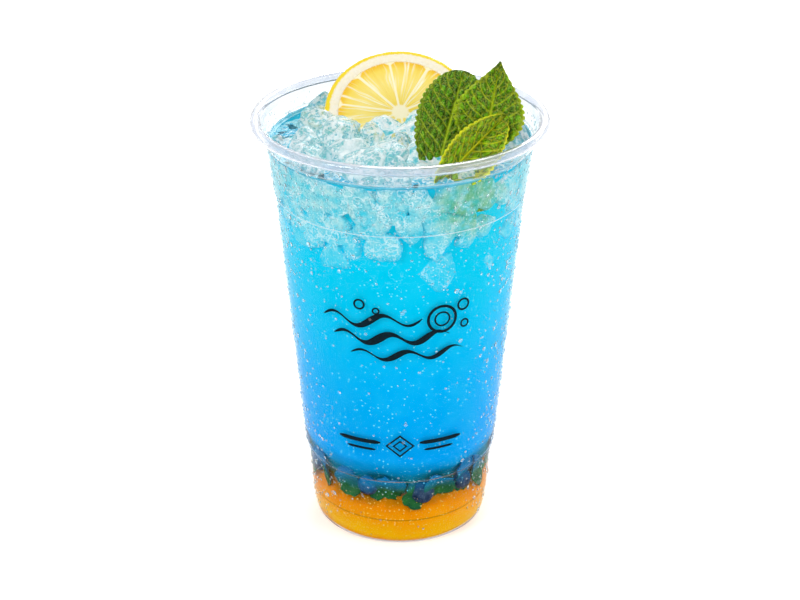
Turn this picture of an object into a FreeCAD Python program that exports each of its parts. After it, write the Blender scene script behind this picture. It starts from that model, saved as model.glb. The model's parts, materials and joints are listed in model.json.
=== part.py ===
import FreeCAD
import Part
import math
import os

import Sketcher

# A clear plastic cup of layered blue lemonade: orange syrup at the bottom, blue lemonade above it,
# a heap of crushed ice that stands out of the drink, a lemon wheel and a sprig of mint.
# The origin is the middle of the foot, +Z is up, and the sprig leans over the rim at -Y.
# Every length is in millimetres and every angle in degrees.

CUP_SIZES = {
    "cup_height": 143.8,
    "rim_radius": 47.5,
    "lip_tube": 1.6,  # radius of the rolled lip
    "wall": 0.5,
    "collar_drop": 7.2,  # from the top of the lip to the stacking shoulder
    "collar_flare": 1.45,  # how far the collar leans out up to the lip
    "shoulder_step": 0.95,
    "shoulder_rise": 0.8,
    "band_drop": 25.0,  # from the top of the lip to the upper step of the wall
    "band_flare": 2.05,
    "band_step": 0.41,
    "band_rise": 0.6,
    "base_radius": 28.8,  # of the wall carried down to the floor
    "base_corner": 3.6,
    "heel_top": 10.35,
    "heel_flare": 1.35,
    "foot_top": 26.2,
    "foot_flare": 0.79,
    "foot_step": 1.12,
    "foot_rise": 0.8,
    "floor": 0.6,
    "punt_rise": 1.8,  # the middle of the floor stands this far off the table
    "punt_radius": 19.6,
    "ring_inner": 21.4,  # inner radius of the ring that the cup stands on
}

DRINK_SIZES = {
    "fill_gap": 0.05,  # between the drink and the wall
    "headroom": 8.8,  # from the drink up to the top of the lip
    "syrup_level": 18.5,
}

ICE_SIZES = {
    "ice_crown": 10.6,  # height of the heap over the drink in the middle
    "ice_edge": 5.0,  # and near the wall
    "ice_uneven": 1.7,
    "ice_lump": 5.9,  # half the spacing of the lumps
    "ice_flat": 2.7,  # half the width of a lump's top
    "ice_slope": 1.15,
    "ice_least": 1.2,  # height of the gaps between lumps
    "ice_gap": 0.8,  # from the heap to the wall
    "pool_depth": 9.0,  # how far the heap draws back where the drink lies bare
    "pool_turn": 24.0,  # half the angle that such a place takes
    "pool_right": 17.0,  # its heading, on the right
    "pool_left": 163.0,
}

LEMON_SIZES = {
    "lemon_radius": 24.5,
    "lemon_thickness": 5.4,
    "lemon_edge": 0.7,
    "pulp_radius": 20.4,
    "pith_core": 2.2,
    "pulp_sink": 0.35,  # how far the pulp lies below its skins
    "segments": 10,
    "skin_turn": 1.5,  # half the angle of a skin between two segments
    "lemon_lean": 35.0,  # tilt of the wheel's face from level, towards the front
    "lemon_yaw": 2.0,
    "lemon_back": 10.5,
    "lemon_rise": 3.9,  # of its middle over the drink
}

SPRIG_SIZES = {
    "sprig_heading": -73.6,
    "sprig_inset": 4.4,  # from the wall to the foot of the sprig
    "sprig_sink": 5.0,
    "stem_radius": 1.1,
    "leaf_thickness": 0.9,
}

# The places of the sprig's pieces are steps to the right, back and up from its foot.
STEM_ENDS = ((0.4, 1.2, 0.6), (12.4, 11.6, 7.2))

# Each leaf has a width, the bow of its middle, its foot, its tip and the turn of its face.
LEAF_SIZES = {
    "mint_leaf_left": (19.4, 2.6, (0.2, 6.9, 4.4), (9.8, 34.9, 29.6), 0.0),
    "mint_leaf_right": (17.6, 2.0, (14.6, 13.9, 8.2), (20.2, 26.9, 34.4), -6.0),
    "mint_leaf_front": (16.0, -1.8, (0.2, -0.4, 3.5), (22.2, 16.9, 19.8), 16.0),
    "mint_leaf_back": (12.0, 1.2, (14.0, 22.9, 6.2), (17.4, 41.9, 24.0), 0.0),
    "mint_leaf_low": (7.4, -0.6, (3.9, 0.7, 2.5), (16.2, 7.6, -6.2), 10.0),
}

WAYS = ("side", "back", "up")
GOLDEN_TURN = 180.0 * (3.0 - math.sqrt(5.0))
HEAP_RINGS = 15
HEAP_SECTORS = 52
LEAF_STATIONS = (0.0, 0.07, 0.2, 0.36, 0.54, 0.72, 0.87, 0.96, 1.0)


class Size:
    """A size that is both a number and the formula that gives it from the sheet's cells."""

    def __init__(self, number, formula):
        self.number = number
        self.formula = formula

    @staticmethod
    def of(value):
        return value if isinstance(value, Size) else Size(value, repr(value))

    def __add__(self, other):
        other = Size.of(other)
        return Size(self.number + other.number, f"({self.formula} + {other.formula})")

    def __sub__(self, other):
        other = Size.of(other)
        return Size(self.number - other.number, f"({self.formula} - {other.formula})")

    def __mul__(self, other):
        other = Size.of(other)
        return Size(self.number * other.number, f"{self.formula} * {other.formula}")

    def __truediv__(self, other):
        other = Size.of(other)
        return Size(self.number / other.number, f"{self.formula} / {other.formula}")


def fill_sheet(document):
    """Write every driving size into the sheet, and give them back by name."""
    sheet = document.addObject("Spreadsheet::Sheet", "Sizes")
    numbers = dict(CUP_SIZES)
    for group in (DRINK_SIZES, ICE_SIZES, LEMON_SIZES, SPRIG_SIZES):
        numbers.update(group)
    ends = {"mint_stem": STEM_ENDS}
    for name, (width, bow, foot, tip, turn) in LEAF_SIZES.items():
        numbers[f"{name}_width"] = width
        numbers[f"{name}_bow"] = bow
        numbers[f"{name}_turn"] = turn
        ends[name] = (foot, tip)
    for name, (foot, tip) in ends.items():
        for way, start, end in zip(WAYS, foot, tip):
            numbers[f"{name}_foot_{way}"] = start
            numbers[f"{name}_tip_{way}"] = end
    for row, (name, number) in enumerate(numbers.items(), start=1):
        sheet.set(f"A{row}", name)
        sheet.set(f"B{row}", str(number))
        sheet.setAlias(f"B{row}", name)
    document.recompute()
    return {name: Size(float(sheet.get(name)), f"Sizes.{name}") for name in numbers}


def bind(thing, setting, size):
    """Tie a setting of an object to the sheet."""
    thing.setExpression(setting, Size.of(size).formula)


def origin_plane(body, role):
    """One of a body's own origin planes."""
    return next(f for f in body.Origin.OriginFeatures if f.Role == role)


def new_sketch(body, name, role):
    """A sketch on one of a body's own origin planes."""
    sketch = body.newObject("Sketcher::SketchObject", name)
    sketch.AttachmentSupport = (origin_plane(body, role), [""])
    sketch.MapMode = "FlatFace"
    return sketch


def measure(sketch, kind, *place):
    """Add a measured constraint, its last word a size, and tie it to the sheet."""
    *where, size = place
    index = sketch.addConstraint(Sketcher.Constraint(kind, *where, size.number))
    bind(sketch, f"Constraints[{index}]", size)


def pin(sketch, line, end, corner):
    """Fix one end of a line at a corner, given as two sizes, or 0 on an axis."""
    across, up = corner
    if across == 0:
        sketch.addConstraint(Sketcher.Constraint("PointOnObject", line, end, -2))
    else:
        measure(sketch, "DistanceX", -1, 1, line, end, across)
    if up == 0:
        sketch.addConstraint(Sketcher.Constraint("PointOnObject", line, end, -1))
    else:
        measure(sketch, "DistanceY", -1, 1, line, end, up)


def point_of(corner):
    """A corner of two sizes as a point of the sketch."""
    across, up = (Size.of(value).number for value in corner)
    return FreeCAD.Vector(across, up, 0)


def join(sketch, first, first_end, second, second_end):
    """Make two ends meet."""
    ends = (first, first_end, second, second_end)
    sketch.addConstraint(Sketcher.Constraint("Coincident", *ends))


def draw_chain(sketch, corners):
    """Draw joined lines from corner to corner, and give the first and the last of them."""
    lines = []
    for start, end in zip(corners, corners[1:]):
        lines.append(sketch.addGeometry(Part.LineSegment(point_of(start), point_of(end))))
    for before, after in zip(lines, lines[1:]):
        join(sketch, before, 2, after, 1)
    return lines


def draw_closed(sketch, corners):
    """Draw a closed outline with every corner pinned."""
    lines = draw_chain(sketch, corners + corners[:1])
    join(sketch, lines[-1], 2, lines[0], 1)
    for line, corner in zip(lines, corners):
        pin(sketch, line, 1, corner)


def revolve(body, sketch):
    """Turn a sketch all the way round its own upright axis."""
    turned = body.newObject("PartDesign::Revolution", f"{sketch.Name}_turned")
    turned.Profile = (sketch, [""])
    turned.ReferenceAxis = (sketch, ["V_Axis"])
    turned.Angle = 360
    return turned


def round_edges(body, base, circles, radius, name):
    """Round the circular edges of a body that have one of the given radii and heights."""
    body.Document.recompute()
    edges = []
    for number, edge in enumerate(base.Shape.Edges, start=1):
        if not isinstance(edge.Curve, Part.Circle):
            continue
        for across, up in circles:
            same_radius = abs(edge.Curve.Radius - Size.of(across).number) < 1e-4
            same_height = abs(edge.Curve.Center.z - Size.of(up).number) < 1e-4
            if same_radius and same_height:
                edges.append(f"Edge{number}")
    fillet = body.newObject("PartDesign::Fillet", name)
    fillet.Base = (base, edges)
    bind(fillet, "Radius", radius)
    return fillet


def wall_corners(s, inset):
    """The wall's outline from the floor up to the foot of the lip, moved in by an inset."""
    lip = s["rim_radius"] - s["lip_tube"] * 2 + s["wall"]
    collar = lip - s["collar_flare"]
    shoulder = collar - s["shoulder_step"]
    band = shoulder - s["band_flare"]
    heel = s["base_radius"] + s["heel_flare"]
    foot = heel + s["foot_flare"]
    collar_height = s["cup_height"] - s["collar_drop"]
    band_height = s["cup_height"] - s["band_drop"]
    outline = [
        (heel, s["heel_top"]),
        (foot, s["foot_top"]),
        (foot + s["foot_step"], s["foot_top"] + s["foot_rise"]),
        (band - s["band_step"], band_height - s["band_rise"]),
        (band, band_height),
        (shoulder, collar_height - s["shoulder_rise"]),
        (collar, collar_height),
        (lip, s["cup_height"] - s["lip_tube"]),
    ]
    return [(across - inset, up) for across, up in outline]


def floor_corners(s, inset, lift):
    """The floor's outline from the axis out to the corner below the wall."""
    middle = s["punt_rise"] + lift if lift else s["punt_rise"]
    low = lift if lift else 0
    return [
        (0, middle),
        (s["punt_radius"], middle),
        (s["ring_inner"], low),
        (s["base_radius"] - inset if inset else s["base_radius"], low),
    ]


def make_cup(document, s):
    """The cup: one sheet of plastic with a punt, three steps in its wall and a rolled lip."""
    body = document.addObject("PartDesign::Body", "cup")
    sketch = new_sketch(body, "cup_section", "XZ_Plane")
    outside = floor_corners(s, 0, 0) + wall_corners(s, 0)
    inside = floor_corners(s, s["wall"], s["floor"]) + wall_corners(s, s["wall"])
    inside.reverse()
    outer_lines = draw_chain(sketch, outside)
    inner_lines = draw_chain(sketch, inside)
    for line, corner in zip(outer_lines, outside):
        pin(sketch, line, 1, corner)
    for line, corner in zip(inner_lines, inside[1:]):
        pin(sketch, line, 2, corner)
    axis_line = sketch.addGeometry(Part.LineSegment(point_of(inside[-1]), point_of(outside[0])))
    join(sketch, inner_lines[-1], 2, axis_line, 1)
    join(sketch, axis_line, 2, outer_lines[0], 1)

    centre = (s["rim_radius"] - s["lip_tube"], s["cup_height"] - s["lip_tube"])
    arcs = []
    for radius in (s["lip_tube"], s["lip_tube"] - s["wall"]):
        circle = Part.Circle(point_of(centre), FreeCAD.Vector(0, 0, 1), radius.number)
        arc = sketch.addGeometry(Part.ArcOfCircle(circle, -math.pi / 2, math.pi))
        measure(sketch, "Radius", arc, radius)
        sketch.addConstraint(Sketcher.Constraint("Vertical", arc, 3, arc, 1))
        sketch.addConstraint(Sketcher.Constraint("Horizontal", arc, 3, arc, 2))
        arcs.append(arc)
    outer_arc, inner_arc = arcs
    pin(sketch, outer_arc, 3, centre)
    join(sketch, outer_arc, 3, inner_arc, 3)
    join(sketch, outer_lines[-1], 2, inner_arc, 2)
    join(sketch, inner_lines[0], 1, outer_arc, 2)
    lip_end = Part.LineSegment(
        point_of((centre[0], centre[1] - s["lip_tube"] + s["wall"])),
        point_of((centre[0], centre[1] - s["lip_tube"])),
    )
    end_line = sketch.addGeometry(lip_end)
    join(sketch, inner_arc, 1, end_line, 1)
    join(sketch, end_line, 2, outer_arc, 1)

    turned = revolve(body, sketch)
    low_outside = [(s["base_radius"], 0)]
    rounded = round_edges(body, turned, low_outside, s["base_corner"], "outer_corner")
    low_inside = [(s["base_radius"] - s["wall"], s["floor"])]
    inner_radius = s["base_corner"] - s["wall"]
    body.Tip = round_edges(body, rounded, low_inside, inner_radius, "inner_corner")
    return body


def make_cavity(document, s):
    """The space that the drink fills, up to the lip."""
    body = document.addObject("PartDesign::Body", "cavity")
    sketch = new_sketch(body, "cavity_section", "XZ_Plane")
    inset = s["wall"] + s["fill_gap"]
    lift = s["floor"] + s["fill_gap"]
    corners = floor_corners(s, inset, lift) + wall_corners(s, inset)
    draw_closed(sketch, corners + [(0, s["cup_height"] - s["lip_tube"])])
    turned = revolve(body, sketch)
    low_corner = [(s["base_radius"] - inset, lift)]
    body.Tip = round_edges(body, turned, low_corner, s["base_corner"] - inset, "cavity_corner")
    return body


def make_slab(document, s, name, low, high):
    """A round slab wider than the cup, from one height to another."""
    slab = document.addObject("Part::Cylinder", name)
    bind(slab, "Radius", s["rim_radius"])
    bind(slab, "Height", Size.of(high) - low)
    bind(slab, "Placement.Base.z", low)
    return slab


def boolean(document, kind, name, base, tool):
    """A boolean of two objects."""
    result = document.addObject(kind, name)
    result.Base = base
    result.Tool = tool
    return result


def make_drink(document, s, cavity, garnish):
    """The syrup and the lemonade: the cavity cut at their levels, and round the garnish."""
    level = drink_level(s)
    low = make_slab(document, s, "syrup_slab", 0, s["syrup_level"])
    high = make_slab(document, s, "lemonade_slab", s["syrup_level"], level)
    syrup = boolean(document, "Part::Common", "syrup_layer", cavity, low)
    filled = boolean(document, "Part::Common", "filled_cup", cavity, high)
    lemonade = boolean(document, "Part::Cut", "blue_lemonade", filled, garnish)
    return [syrup, lemonade]


def drink_level(s):
    """Height of the drink's surface."""
    return s["cup_height"] - s["headroom"]


def level_radius(s):
    """Inner radius of the wall at the drink's surface."""
    corners = wall_corners(s, s["wall"] + s["fill_gap"])
    level = drink_level(s).number
    for (low, start), (high, end) in zip(corners, corners[1:]):
        if start.number <= level <= end.number:
            share = (level - start.number) / (end.number - start.number)
            return low.number + share * (high.number - low.number)
    return corners[-1][0].number


def heap_outline(s, turn):
    """Radius of the ice heap at a heading: near the wall, but drawn back where the drink is bare."""
    radius = level_radius(s) - s["ice_gap"].number
    for pool in (s["pool_right"].number, s["pool_left"].number):
        away = abs((turn - pool + 180.0) % 360.0 - 180.0) / s["pool_turn"].number
        if away < 1.0:
            radius -= s["pool_depth"].number * (1.0 - away ** 4)
    return radius


def heap_lumps(s):
    """Lumps of the heap, spread like the seeds of a sunflower: across, back, height and width."""
    spread = level_radius(s)
    count = round((spread / s["ice_lump"].number) ** 2)
    lumps = []
    for number in range(count):
        share = (number + 0.5) / count
        reach = spread * math.sqrt(share) * (1.0 + 0.05 * math.sin(5.0 * number))
        turn = math.radians(number * GOLDEN_TURN)
        crown = s["ice_crown"].number + (s["ice_edge"].number - s["ice_crown"].number) * share
        height = crown + s["ice_uneven"].number * math.sin(2.7 * number)
        flat = s["ice_flat"].number * (1.0 + 0.35 * math.sin(4.1 * number))
        lumps.append((reach * math.cos(turn), reach * math.sin(turn), height, flat))
    return lumps


def heap_height(s, lumps, across, back):
    """Height of the heap over the drink: the tallest lump there, each a blunt cone."""
    height = s["ice_least"].number
    for lump_across, lump_back, top, flat in lumps:
        away = math.hypot(across - lump_across, back - lump_back)
        height = max(height, top - s["ice_slope"].number * max(0.0, away - flat))
    return height


def triangle(first, second, third):
    """A flat three-sided face."""
    return Part.Face(Part.makePolygon([first, second, third, first]))


def make_heap(document, s, garnish):
    """The ice heap: a faceted solid on the drink's surface, cut round the garnish.

    Crumbs that the garnish cuts off the heap are left out.
    """
    level = drink_level(s).number
    lumps = heap_lumps(s)
    rings = []
    for ring in range(1, HEAP_RINGS + 1):
        points = []
        for sector in range(HEAP_SECTORS):
            turn = 360.0 * (sector + 0.5 * (ring % 2)) / HEAP_SECTORS
            reach = heap_outline(s, turn) * ring / HEAP_RINGS
            across = reach * math.cos(math.radians(turn))
            back = reach * math.sin(math.radians(turn))
            height = heap_height(s, lumps, across, back)
            points.append(FreeCAD.Vector(across, back, level + height))
        rings.append(points)
    top = FreeCAD.Vector(0, 0, level + heap_height(s, lumps, 0, 0))
    feet = [FreeCAD.Vector(point.x, point.y, level) for point in rings[-1]]
    faces = [Part.Face(Part.makePolygon(feet + feet[:1]))]
    for this in range(HEAP_SECTORS):
        following = (this + 1) % HEAP_SECTORS
        faces.append(triangle(top, rings[0][this], rings[0][following]))
        faces.append(triangle(rings[-1][this], feet[this], rings[-1][following]))
        faces.append(triangle(rings[-1][following], feet[this], feet[following]))
    for number, (inner, outer) in enumerate(zip(rings, rings[1:]), start=1):
        for this in range(HEAP_SECTORS):
            following = (this + 1) % HEAP_SECTORS
            if number % 2:
                faces.append(triangle(inner[this], outer[following], inner[following]))
                faces.append(triangle(inner[this], outer[this], outer[following]))
            else:
                faces.append(triangle(inner[this], outer[this], inner[following]))
                faces.append(triangle(inner[following], outer[this], outer[following]))
    shell = Part.makeShell(faces)
    solid = Part.makeSolid(shell)
    if solid.Volume < 0:
        solid.reverse()
    pieces = solid.cut(garnish.Shape).Solids
    heap = document.addObject("Part::Feature", "ice_heap")
    heap.Shape = max(pieces, key=lambda piece: piece.Volume)
    return heap


def make_segments(body, s, name, side):
    """Sink the lemon's pulp between its skins on one face, once for each segment."""
    document = body.Document
    sketch = new_sketch(body, f"{name}_sketch", "XY_Plane")
    bind(sketch, "AttachmentOffset.Base.z", s["lemon_thickness"] / 2 * side)
    half_turn = math.radians(180.0 / s["segments"].number - s["skin_turn"].number)
    rise = s["pulp_radius"] * math.sin(half_turn)
    run = s["pulp_radius"] * math.cos(half_turn)
    apex = FreeCAD.Vector(s["pith_core"].number, 0, 0)
    low = FreeCAD.Vector(run.number, -rise.number, 0)
    high = FreeCAD.Vector(run.number, rise.number, 0)
    circle = Part.Circle(FreeCAD.Vector(), FreeCAD.Vector(0, 0, 1), s["pulp_radius"].number)
    arc = sketch.addGeometry(Part.ArcOfCircle(circle, -half_turn, half_turn))
    lower = sketch.addGeometry(Part.LineSegment(apex, low))
    upper = sketch.addGeometry(Part.LineSegment(high, apex))
    join(sketch, lower, 2, arc, 1)
    join(sketch, arc, 2, upper, 1)
    join(sketch, upper, 2, lower, 1)
    sketch.addConstraint(Sketcher.Constraint("Coincident", arc, 3, -1, 1))
    sketch.addConstraint(Sketcher.Constraint("PointOnObject", lower, 1, -1))
    measure(sketch, "DistanceX", -1, 1, lower, 1, s["pith_core"])
    measure(sketch, "Radius", arc, s["pulp_radius"])
    measure(sketch, "DistanceY", -1, 1, arc, 2, rise)
    measure(sketch, "DistanceY", arc, 1, -1, 1, rise)
    document.recompute()
    whole = body.Shape.Volume
    pocket = body.newObject("PartDesign::Pocket", name)
    pocket.Profile = (sketch, [""])
    pocket.Reversed = side < 0
    bind(pocket, "Length", s["pulp_sink"])
    document.recompute()
    if body.Shape.Volume >= whole:
        raise RuntimeError(f"{name} cuts nothing")
    pattern = body.newObject("PartDesign::PolarPattern", f"{name}_all_round")
    pattern.Originals = [pocket]
    pattern.Axis = (sketch, ["N_Axis"])
    pattern.Angle = 360
    bind(pattern, "Occurrences", s["segments"])
    body.Tip = pattern


def make_lemon(document, s):
    """The lemon wheel: a disc with its pulp a little below the skins, leaning on the ice."""
    body = document.addObject("PartDesign::Body", "lemon_wheel")
    sketch = new_sketch(body, "lemon_outline", "XY_Plane")
    circle = Part.Circle(FreeCAD.Vector(), FreeCAD.Vector(0, 0, 1), s["lemon_radius"].number)
    outline = sketch.addGeometry(circle)
    sketch.addConstraint(Sketcher.Constraint("Coincident", outline, 3, -1, 1))
    measure(sketch, "Radius", outline, s["lemon_radius"])
    pad = body.newObject("PartDesign::Pad", "lemon_disc")
    pad.Profile = (sketch, [""])
    pad.Midplane = True
    bind(pad, "Length", s["lemon_thickness"])
    edges = [(s["lemon_radius"], s["lemon_thickness"] / 2 * side) for side in (-1, 1)]
    body.Tip = round_edges(body, pad, edges, s["lemon_edge"], "lemon_rim")
    make_segments(body, s, "pulp_front", 1)
    make_segments(body, s, "pulp_back", -1)
    body.Placement.Rotation = FreeCAD.Rotation(s["lemon_yaw"].number, 0, s["lemon_lean"].number)
    bind(body, "Placement.Base.y", s["lemon_back"])
    bind(body, "Placement.Base.z", drink_level(s) + s["lemon_rise"])
    return body


def sprig_foot(s):
    """Where the sprig starts: just inside the wall and below the drink's surface."""
    heading = math.radians(s["sprig_heading"].number)
    reach = level_radius(s) - s["sprig_inset"].number
    height = drink_level(s).number - s["sprig_sink"].number
    return FreeCAD.Vector(reach * math.cos(heading), reach * math.sin(heading), height)


def leaf_outline(share):
    """Width of a leaf along its length as a share of its greatest width: egg-shaped, pointed."""
    return 0.08 + 0.92 * math.sin(math.pi * share ** 0.86) ** 0.7 if 0 < share < 1 else 0.06


def sprig_point(s, name, end):
    """The foot or tip of a piece of the sprig, where it stands in the cup."""
    return sprig_foot(s) + FreeCAD.Vector(*(s[f"{name}_{end}_{way}"].number for way in WAYS))


def make_leaf(document, s, name):
    """A mint leaf: a thin bowed blade lofted through lens-shaped sections from foot to tip."""
    foot = sprig_point(s, name, "foot")
    along = sprig_point(s, name, "tip") - foot
    length = along.Length
    sections = []
    for number, share in enumerate(LEAF_STATIONS):
        section = document.addObject("Part::Ellipse", f"{name}_section_{number}")
        width = leaf_outline(share)
        bind(section, "MajorRadius", s[f"{name}_width"] / 2 * width)
        bind(section, "MinorRadius", s["leaf_thickness"] / 2 * (0.35 + 0.65 * width))
        bind(section, "Placement.Base.y", s[f"{name}_bow"] * (4 * share * (1 - share)))
        section.Placement.Base.z = length * share
        sections.append(section)
    leaf = document.addObject("Part::Loft", name)
    leaf.Sections = sections
    leaf.Solid = True
    upward = FreeCAD.Vector(0, -0.9, 0.44)
    across = along.cross(upward)
    base = FreeCAD.Rotation(across, FreeCAD.Vector(), along, "ZXY")
    turn = FreeCAD.Rotation(FreeCAD.Vector(0, 0, 1), s[f"{name}_turn"].number)
    leaf.Placement = FreeCAD.Placement(foot, base * turn)
    return leaf


def make_stem(document, s):
    """The stem of the sprig, which the leaves spring from."""
    foot = sprig_point(s, "mint_stem", "foot")
    along = sprig_point(s, "mint_stem", "tip") - foot
    stem = document.addObject("Part::Cone", "mint_stem")
    bind(stem, "Radius1", s["stem_radius"])
    bind(stem, "Radius2", s["stem_radius"] * 0.8)
    stem.Height = along.Length
    stem.Placement = FreeCAD.Placement(foot, FreeCAD.Rotation(FreeCAD.Vector(0, 0, 1), along))
    return stem


def check(document, nodes):
    """Stop if any object failed or any sub-part has no sound shape."""
    for thing in document.Objects:
        if "Invalid" in thing.State or "Error" in thing.State:
            raise RuntimeError(f"{thing.Name} failed: {thing.State}")
    for node in nodes:
        if node.Shape.isNull() or not node.Shape.isValid():
            raise RuntimeError(f"{node.Label} has no sound shape")
        if len(node.Shape.Solids) != 1:
            raise RuntimeError(f"{node.Label} has {len(node.Shape.Solids)} solids")


def main():
    """Build the document and write one file for each sub-part."""
    document = FreeCAD.newDocument("lemonade")
    s = fill_sheet(document)
    cup = make_cup(document, s)
    cavity = make_cavity(document, s)
    lemon = make_lemon(document, s)
    leaves = [make_leaf(document, s, name) for name in LEAF_SIZES]
    stem = make_stem(document, s)
    document.recompute()
    garnish = document.addObject("Part::Compound", "garnish")
    garnish.Links = [lemon, stem] + leaves
    drink = make_drink(document, s, cavity, garnish)
    document.recompute()
    heap = make_heap(document, s, garnish)
    document.recompute()

    nodes = [cup, lemon, stem, heap] + drink + leaves
    check(document, nodes)
    os.makedirs("parts", exist_ok=True)
    for node in nodes:
        node.Shape.exportStep(f"parts/{node.Label}.step")
        print(f"{node.Label}: {node.Shape.Volume:.1f} mm3")


main()
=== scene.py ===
"""Looks of a clear plastic cup of layered blue lemonade.

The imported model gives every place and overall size.  Each sub-assembly is a class that builds its
meshes and dresses them.  Sizes are in millimetres and angles in degrees unless a name says otherwise.
"""

import itertools
import json
import logging
import math
from dataclasses import dataclass, replace
from enum import Enum
from typing import Any

import bmesh
import bpy
import numpy as np
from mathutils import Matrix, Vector
from mathutils.bvhtree import BVHTree

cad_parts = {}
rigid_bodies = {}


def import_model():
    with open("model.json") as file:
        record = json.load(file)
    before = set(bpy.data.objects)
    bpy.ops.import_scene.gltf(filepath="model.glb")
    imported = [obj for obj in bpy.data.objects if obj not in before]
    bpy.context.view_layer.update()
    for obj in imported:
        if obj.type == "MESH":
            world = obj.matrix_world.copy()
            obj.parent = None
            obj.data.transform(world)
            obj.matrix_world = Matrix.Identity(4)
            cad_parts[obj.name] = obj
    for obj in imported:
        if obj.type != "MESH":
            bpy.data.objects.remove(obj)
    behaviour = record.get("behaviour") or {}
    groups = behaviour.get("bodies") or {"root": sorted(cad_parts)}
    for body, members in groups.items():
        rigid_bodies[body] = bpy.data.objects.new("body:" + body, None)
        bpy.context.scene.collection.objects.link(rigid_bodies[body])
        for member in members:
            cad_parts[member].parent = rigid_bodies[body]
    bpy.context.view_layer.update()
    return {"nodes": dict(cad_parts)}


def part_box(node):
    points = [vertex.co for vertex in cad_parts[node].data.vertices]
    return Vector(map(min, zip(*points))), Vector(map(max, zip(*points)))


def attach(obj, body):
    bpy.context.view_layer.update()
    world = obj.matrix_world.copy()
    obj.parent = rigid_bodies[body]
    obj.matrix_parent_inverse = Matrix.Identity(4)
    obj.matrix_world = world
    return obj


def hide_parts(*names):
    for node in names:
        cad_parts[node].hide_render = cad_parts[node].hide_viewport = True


LOG = logging.getLogger("lemonade")
MM = 0.001
FULL_TURN = 2.0 * math.pi
GOLDEN_TURN = math.pi * (3.0 - math.sqrt(5.0))
BODY = "root"
WHITE = (1.0, 1.0, 1.0, 1.0)
# Painted glow: share of its own colour that a cloudy finish gives off though it is no lamp, standing in for
# the light that it scatters.
PAINTED_GLOW = 0.07
Piece = bpy.types.Object
Material = bpy.types.Material


class Slot(Enum):
    """Material slots of the record."""

    PLASTIC = "clear_plastic"
    SYRUP = "orange_syrup"
    DRINK = "blue_drink"
    ICE = "ice"
    LEMON = "lemon"
    MINT = "mint"


class Side(Enum):
    """Faces of the lemon wheel."""

    FRONT = 1
    BACK = -1


# ---------------------------------------------------------------- numbers


def linear(value: Any) -> Any:
    """Turn a display colour into scene-linear values.

    Args:
        value: Three parts up to 255, or anything else, which is passed on.

    Returns:
        The linear colour, or what was passed on.
    """
    if not isinstance(value, tuple) or len(value) != 3:
        return value
    parts = [part / 255.0 for part in value]
    return (*(p / 12.92 if p <= 0.04045 else ((p + 0.055) / 1.055) ** 2.4 for p in parts), 1.0)


def smooth_step(values: np.ndarray, low: float, high: float) -> np.ndarray:
    """Ease from 0 at low to 1 at high."""
    share = np.clip((values - low) / (high - low), 0.0, 1.0)
    return share * share * (3.0 - 2.0 * share)


def circle(sides: int) -> np.ndarray:
    """Even turns of one circle, in radians."""
    return np.arange(sides) * (FULL_TURN / sides)


def polar(reach: Any, turn: Any, up: Any) -> np.ndarray:
    """Points given by distance from the upright axis, turn round it and height."""
    parts = np.broadcast_arrays(reach * np.cos(turn), reach * np.sin(turn), up)
    return np.stack(parts, axis=-1).reshape(-1, 3)


@dataclass(frozen=True)
class Grain:
    """Repeatable random fields over points in space.

    Attributes:
        seed: Picks one field out of many.
    """

    seed: int

    def hashed(self, cells: np.ndarray, salt: int = 0) -> np.ndarray:
        """Give one number from 0 to 1 for each whole-number cell.

        Args:
            cells: Cells as rows of three whole numbers.
            salt: Picks a further number of the same cell.

        Returns:
            One number for each row.
        """
        mixed = cells[:, 0] * 73856093 ^ cells[:, 1] * 19349663 ^ cells[:, 2] * 83492791
        mixed = (mixed ^ (self.seed * 668265263 + salt * 374761393)) & 0xFFFFFFFF
        mixed = ((mixed ^ (mixed >> 15)) * 2246822519) & 0xFFFFFFFF
        mixed = ((mixed ^ (mixed >> 13)) * 3266489917) & 0xFFFFFFFF
        return ((mixed ^ (mixed >> 16)) & 0xFFFFFF) / float(0xFFFFFF)

    def soft(self, points: np.ndarray, size: float) -> np.ndarray:
        """Smooth noise between -1 and 1.

        Args:
            points: Points as rows of three.
            size: Width of one bump.

        Returns:
            The noise at each point.
        """
        scaled = points / size
        cell = np.floor(scaled).astype(np.int64)
        part = scaled - cell
        part = part * part * (3.0 - 2.0 * part)
        total = np.zeros(len(points))
        for corner in itertools.product((0, 1), repeat=3):
            step = np.array(corner)
            weight = np.prod(np.where(step == 1, part, 1.0 - part), axis=1)
            total += weight * self.hashed(cell + step)
        return total * 2.0 - 1.0

    def cracks(self, points: np.ndarray, size: float) -> np.ndarray:
        """Distance from the joints between cells, in cell widths.

        Args:
            points: Points as rows of three, of which the first two count.
            size: Width of one cell.

        Returns:
            Second nearest less nearest distance to a cell's middle.
        """
        scaled = points[:, :2] / size
        cell = np.floor(scaled).astype(np.int64)
        nearest = np.full(len(points), 9.0)
        second = nearest
        for step in itertools.product((-1, 0, 1), repeat=2):
            other = cell + np.array(step)
            flat = np.column_stack([other, np.zeros(len(other), dtype=np.int64)])
            seat = other + np.column_stack([self.hashed(flat, 1), self.hashed(flat, 2)])
            away = np.linalg.norm(scaled - seat, axis=1)
            second = np.minimum(second, np.maximum(nearest, away))
            nearest = np.minimum(nearest, away)
        return second - nearest


# ---------------------------------------------------------------- meshes


def keep_field(mesh: bpy.types.Mesh, name: str, values: np.ndarray, kind: str = "FLOAT") -> None:
    """Keep numbers or vectors on a mesh's points.

    Args:
        mesh: The mesh.
        name: Name of the field.
        values: One number or vector for each point.
        kind: FLOAT, INT or FLOAT_VECTOR.
    """
    part = "vector" if kind == "FLOAT_VECTOR" else "value"
    plain = np.asarray(values, dtype=np.int32 if kind == "INT" else np.float32)
    mesh.attributes.new(name, kind, "POINT").data.foreach_set(part, plain.ravel())


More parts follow.
